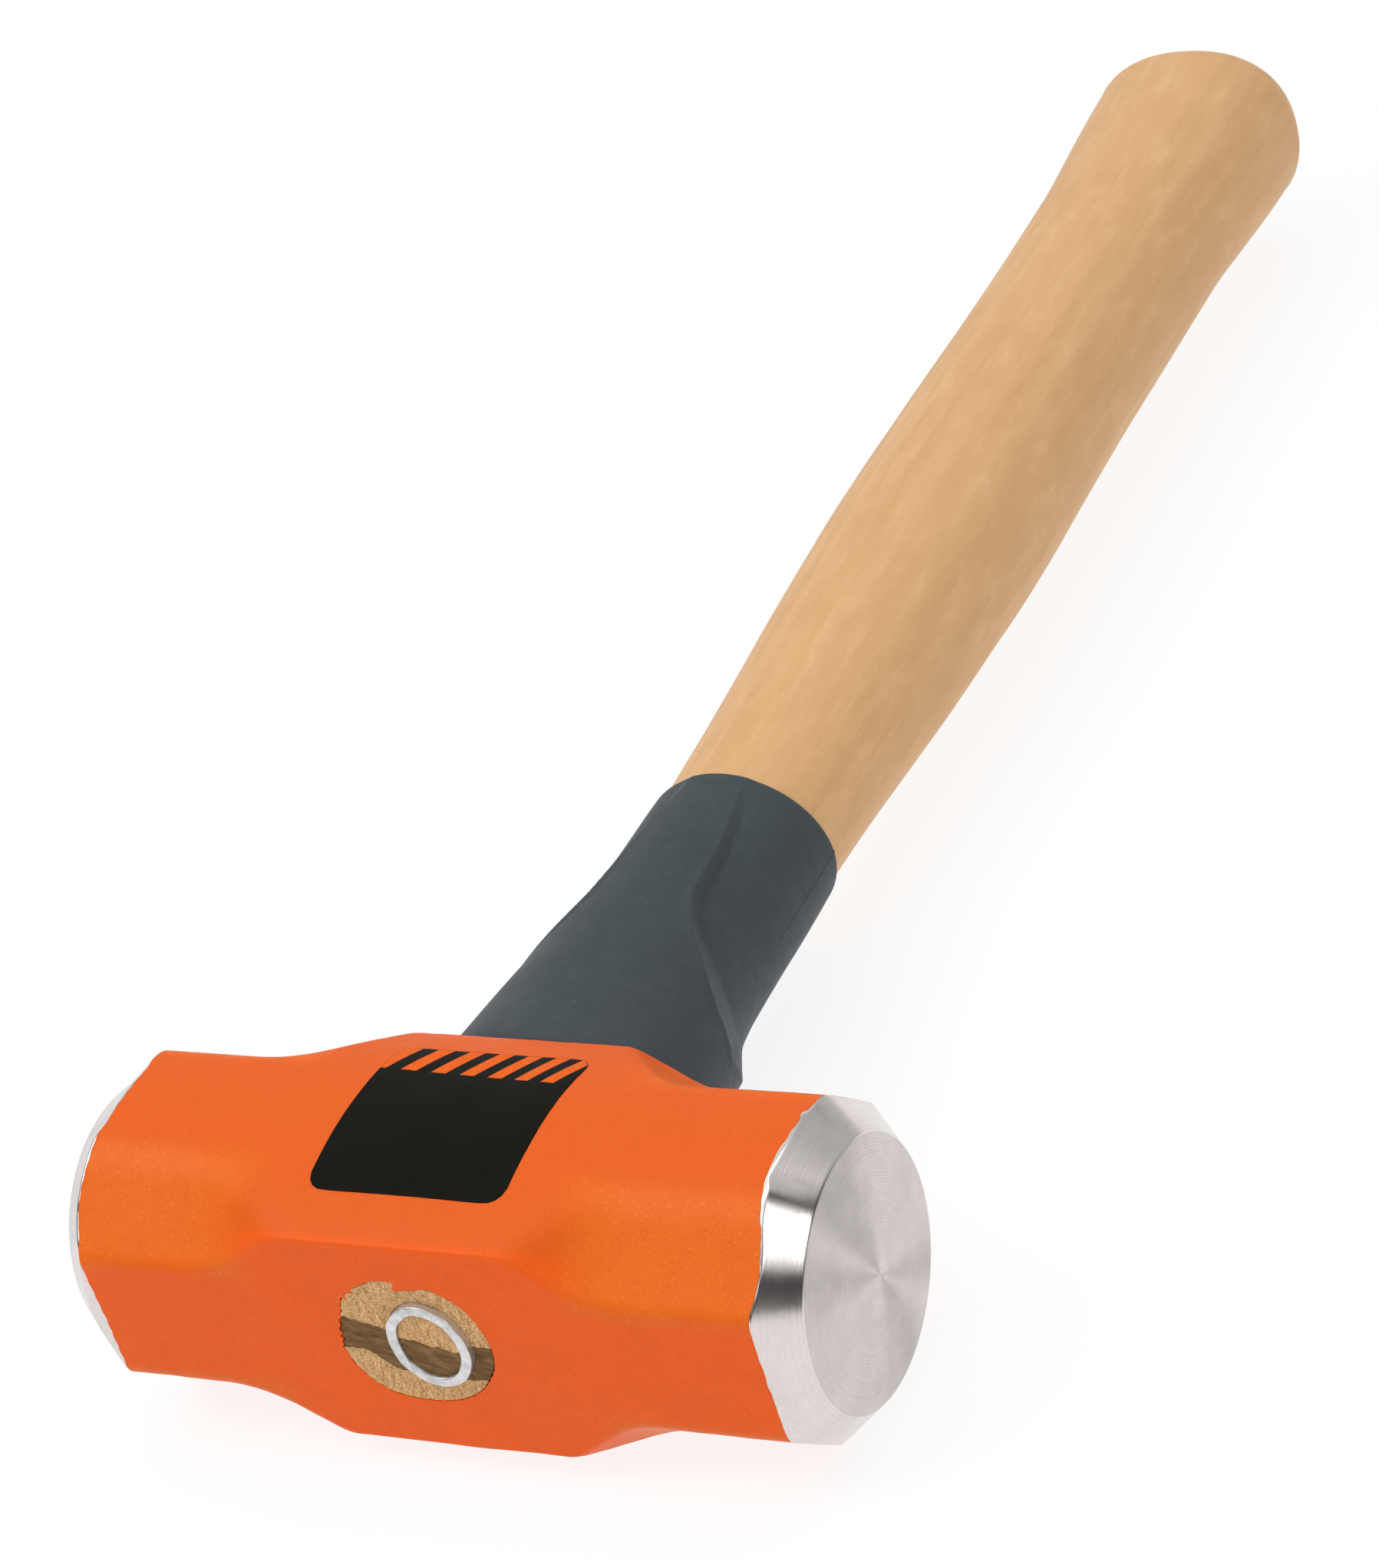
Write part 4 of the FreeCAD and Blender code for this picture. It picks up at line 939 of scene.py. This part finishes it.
NG = 640
RIM = 86.6
tg = np.arange(NG) / NG * 2 * np.pi
yy = np.concatenate([np.linspace(22.9, RIM - 1.1, 330)])
T, Y = np.meshgrid(tg, yy)
c, s = np.cos(T), np.sin(T)
fold = np.degrees(np.arctan2(np.abs(s), np.abs(c)))     # 0 at the side, 90 on top
fold = np.where(True, fold, fold)
D = crease_distance(fold, Y)
width = np.interp(Y, [38, 44, 50, 54, 58, 64, 90], [9.0, 7.5, 4.2, 2.6, 2.3, 2.3, 2.2])
w = np.clip(1 - D / width, 0, 1) ** 2
w = np.where(D <= 0, 1.0, w)
A = ta(Y) + (sa(Y) - ta(Y)) * w
B = tb(Y) + (sb(Y) - tb(Y)) * w
lift = 0.28 * np.exp(-(D / 0.9) ** 2) * smooth((84 - Y) / 12) * (0.45 + 0.55 * np.exp(-((Y - 56) / 9.0) ** 2))
groove = -0.30 * np.exp(-((D - 1.4) / 0.8) ** 2) * smooth((84 - Y) / 12) * smooth((Y - 50) / 10)
A, B = A + lift + groove, B + lift + groove
# parting line of the mould
seam = 0.13 * np.exp(-((T - 0.0) / 0.008) ** 2) + 0.13 * np.exp(-((T - 2 * np.pi) / 0.008) ** 2) \
    + 0.13 * np.exp(-((T - np.pi) / 0.008) ** 2)
seam = seam * smooth((Y - 62) / 8)
A, B = A + seam, B + seam
# sag and small unevenness of the moulding
gw = waves(61, 18, 12, 50)
Pg = np.stack([A * c, Y, B * s], -1)
Pg[..., 0] += 0.06 * gw(Pg) * c
Pg[..., 2] += 0.06 * gw(Pg) * s
rowsg = []
r_end = 1.7
for q in np.linspace(0, math.pi / 2, 10)[:-1]:          # rounded lip at the head
    less, y = r_end * (1 - math.sin(q)), 22.9 - r_end * math.cos(q)
    base = Pg[0]
    nrm = np.stack([base[:, 0] / 21.0, 0 * base[:, 0], base[:, 2] / 17.3], -1)
    o = base - nrm * less
    o[:, 1] = y
    rowsg.append(o)
rowsg += list(Pg)
for q in np.linspace(0, math.pi / 2, 8)[1:]:            # rounded rim
    less, y = 1.0 * (1 - math.cos(q)), RIM - 1.1 + 1.05 * math.sin(q)
    base = Pg[-1]
    nrm = np.stack([base[:, 0] / 15.4, 0 * base[:, 0], base[:, 2] / 13.7], -1)
    o = base - nrm * less
    o[:, 1] = y
    rowsg.append(o)
for y, f in ((RIM - 0.05, 0.15), (RIM - 0.4, 0.03), (80.0, 0.03), (60, 0.03), (40, 0.03), (22, 0.03), (21.2, 0.1)):
    a_, b_ = float(ga(y)) + f, float(gb(y)) + f
    rowsg.append(np.stack([a_ * np.cos(tg), np.full(NG, y), b_ * np.sin(tg)], -1))
guard = rings_mesh("guard_sleeve", np.array(rowsg), [RUBBER], loop_u=True)
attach(guard, "root")
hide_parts("rubber_guard")

# ------------------------------------------------------------------- label
LX, LY0, LY1, LC = 15.0, -13.9, 15.2, 2.6
LABEL = label_material(skew=0.43, duty=0.49, y_base=0.0088)


def label_outline(x, y):
    """Signed distance outside the rounded rectangle."""
    cx, cy2, hx, hy = 0.0, (LY0 + LY1) / 2, LX - LC, (LY1 - LY0) / 2 - LC
    dx, dy = np.abs(x - cx) - hx, np.abs(y - cy2) - hy
    return np.hypot(np.clip(dx, 0, None), np.clip(dy, 0, None)) + np.minimum(np.maximum(dx, dy), 0) - LC


nu, nv = 120, 48
rowsl = []
cyl = (LY0 + LY1) / 2
ang_l = np.arange(nu) / nu * 2 * np.pi
for f in np.concatenate([np.linspace(0.02, 0.97, nv), [0.980, 0.985, 0.990, 0.995, 1.0]]):
    # rays from the centre to the rounded outline
    lo_, hi_ = np.zeros(nu), np.full(nu, 40.0)
    for _ in range(30):
        mid_ = (lo_ + hi_) / 2
        outside = label_outline(mid_ * np.cos(ang_l), cyl + mid_ * np.sin(ang_l)) > 0
        hi_, lo_ = np.where(outside, mid_, hi_), np.where(outside, lo_, mid_)
    rr = lo_ * f
    X, Yl = rr * np.cos(ang_l), cyl + rr * np.sin(ang_l)
    zt = np.sqrt((CHEEK_R) ** 2 - Yl ** 2) - (CHEEK_R - CHEEK)
    rowsl.append(np.stack([X, Yl, zt + (0.10 if f < 1 else 0.0)], -1))
P = np.array(rowsl)
dl = waves(5, 26, 9.0, 34.0)
P[..., 2] += 0.055 * dl(P) - 0.05 + 0.03
P[-1, :, 2] -= 0.12
label = rings_mesh("label_strip", P, [LABEL], start=(0, cyl, CHEEK + 0.07), closed=False)
depth = np.concatenate([-label_outline(P[..., 0], P[..., 1]).reshape(-1), [12.0]])
inset = label.data.attributes.new("inset", "FLOAT", "POINT")
inset.data.foreach_set("value", depth.astype(np.float32))
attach(label, "root")
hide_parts("cheek_label")

# ------------------------------------------------------------------- stage
floor_me = bpy.data.meshes.new("floor")
floor_me.from_pydata([(-6, -6, 0), (6, -6, 0), (6, 6, 0), (-6, 6, 0)], [], [(0, 1, 2, 3)])
floor_me.materials.append(floor_material())
floor = bpy.data.objects.new("floor", floor_me)
root.objects.link(floor)
floor.location = (0, 0, -0.0004)


def area(name, at, aim, size, power, color=(1, 1, 1), size_y=None):
    d = bpy.data.lights.new(name, "AREA")
    d.energy = power
    d.color = color
    d.size = size
    if size_y:
        d.shape = "RECTANGLE"
        d.size_y = size_y
    o = bpy.data.objects.new(name, d)
    o.location = at
    o.rotation_euler = (Vector(aim) - Vector(at)).to_track_quat("-Z", "Y").to_euler()
    root.objects.link(o)
    return o


HEAD_AT = (0.0, CY, CZ)
# lamp powers in watts, and the strength of each part of the surroundings
KEY, TOP, FRONT, BACK, BOX = 15.2, 7.0, 3.3, 0.2, 3.9
EVEN, ZENITH, LEFT, BEHIND = 0.03, 0.49, 0.03, 0.54
FACE_AT = Vector((0.053, CY, CZ))


def beside(azimuth, elevation, far):
    a, e = math.radians(azimuth), math.radians(elevation)
    return FACE_AT + far * Vector((math.cos(a) * math.cos(e), math.sin(a) * math.cos(e), math.sin(e)))


area("key", (-1.0, -0.7, 1.5), HEAD_AT, 1.0, KEY)
area("top", (0.1, 0.35, 1.8), (0.0, 0.05, CZ), 1.4, TOP)
area("front", (0.1, -1.5, 0.75), HEAD_AT, 0.8, FRONT)
area("back", (-1.1, 0.9, 1.1), (0.0, 0.0, CZ), 0.9, BACK)
area("right_box", beside(-15.0, 33.5, 1.3), FACE_AT, 0.80, BOX, size_y=0.42)

world = bpy.data.worlds.new("studio")
scene.world = world
world.use_nodes = True
wt = world.node_tree
wt.nodes.clear()
wo_ = wt.nodes.new("ShaderNodeOutputWorld")
tc = wt.nodes.new("ShaderNodeTexCoord")


def sky(direction, stops, strength):
    """Light from the surroundings, ramped by the cosine to a direction."""
    dot = wt.nodes.new("ShaderNodeVectorMath")
    dot.operation = "DOT_PRODUCT"
    wt.links.new(tc.outputs["Generated"], dot.inputs[0])
    dot.inputs[1].default_value = Vector(direction).normalized()
    ramp = wt.nodes.new("ShaderNodeValToRGB")
    el = ramp.color_ramp.elements
    while len(el) < len(stops):
        el.new(0.5)
    for e, (p_, v_) in zip(el, stops):
        e.position = p_
        e.color = (v_, v_, v_, 1)
    back = wt.nodes.new("ShaderNodeBackground")
    back.name = "sky%d" % sum(n.type == "BACKGROUND" for n in wt.nodes)
    wt.links.new(dot.outputs["Value"], ramp.inputs[0])
    wt.links.new(ramp.outputs[0], back.inputs[0])
    back.inputs[1].default_value = strength
    return back


lobes = [sky((0, 0, 1), [(0.0, 0.20), (0.22, 0.22), (0.32, 1.0), (1.0, 1.0)], EVEN),
         sky((0, 0, 1), [(0.0, 0.0), (0.60, 0.0), (0.85, 1.0), (1.0, 1.0)], ZENITH),
         sky((-0.85, -0.2, 0.45), [(0.0, 0.0), (0.35, 0.0), (0.75, 1.0), (1.0, 1.0)], LEFT),
         sky((-0.2, 0.9, 0.4), [(0.0, 0.0), (0.35, 0.0), (0.75, 1.0), (1.0, 1.0)], BEHIND)]
out_ = lobes[0].outputs[0]
for lobe in lobes[1:]:
    both = wt.nodes.new("ShaderNodeAddShader")
    wt.links.new(out_, both.inputs[0])
    wt.links.new(lobe.outputs[0], both.inputs[1])
    out_ = both.outputs[0]
wt.links.new(out_, wo_.inputs[0])

# ------------------------------------------------------------------ camera
cam_d = bpy.data.cameras.new("camera")
cam = bpy.data.objects.new("camera", cam_d)
root.objects.link(cam)
rv = Vector((2.16720949, 0.306111418, -0.536093184))
R = Matrix.Rotation(rv.length, 3, rv.normalized())
right_v, down_v, fwd_v = R[0], R[1], R[2]
eye_pos = Vector((363.460, -438.025, 429.089)) * 0.88 / 1000 + Vector((CX, CY, CZ))
M = Matrix.Identity(4)
for i in range(3):
    M[i][0], M[i][1], M[i][2], M[i][3] = right_v[i], -down_v[i], -fwd_v[i], eye_pos[i]
cam.matrix_world = M
cam_d.sensor_fit = "AUTO"
cam_d.sensor_width = 36.0
cam_d.lens = 107.19
cam_d.clip_start, cam_d.clip_end = 0.01, 50.0
scene.camera = cam
scene.view_settings.view_transform = "Standard"
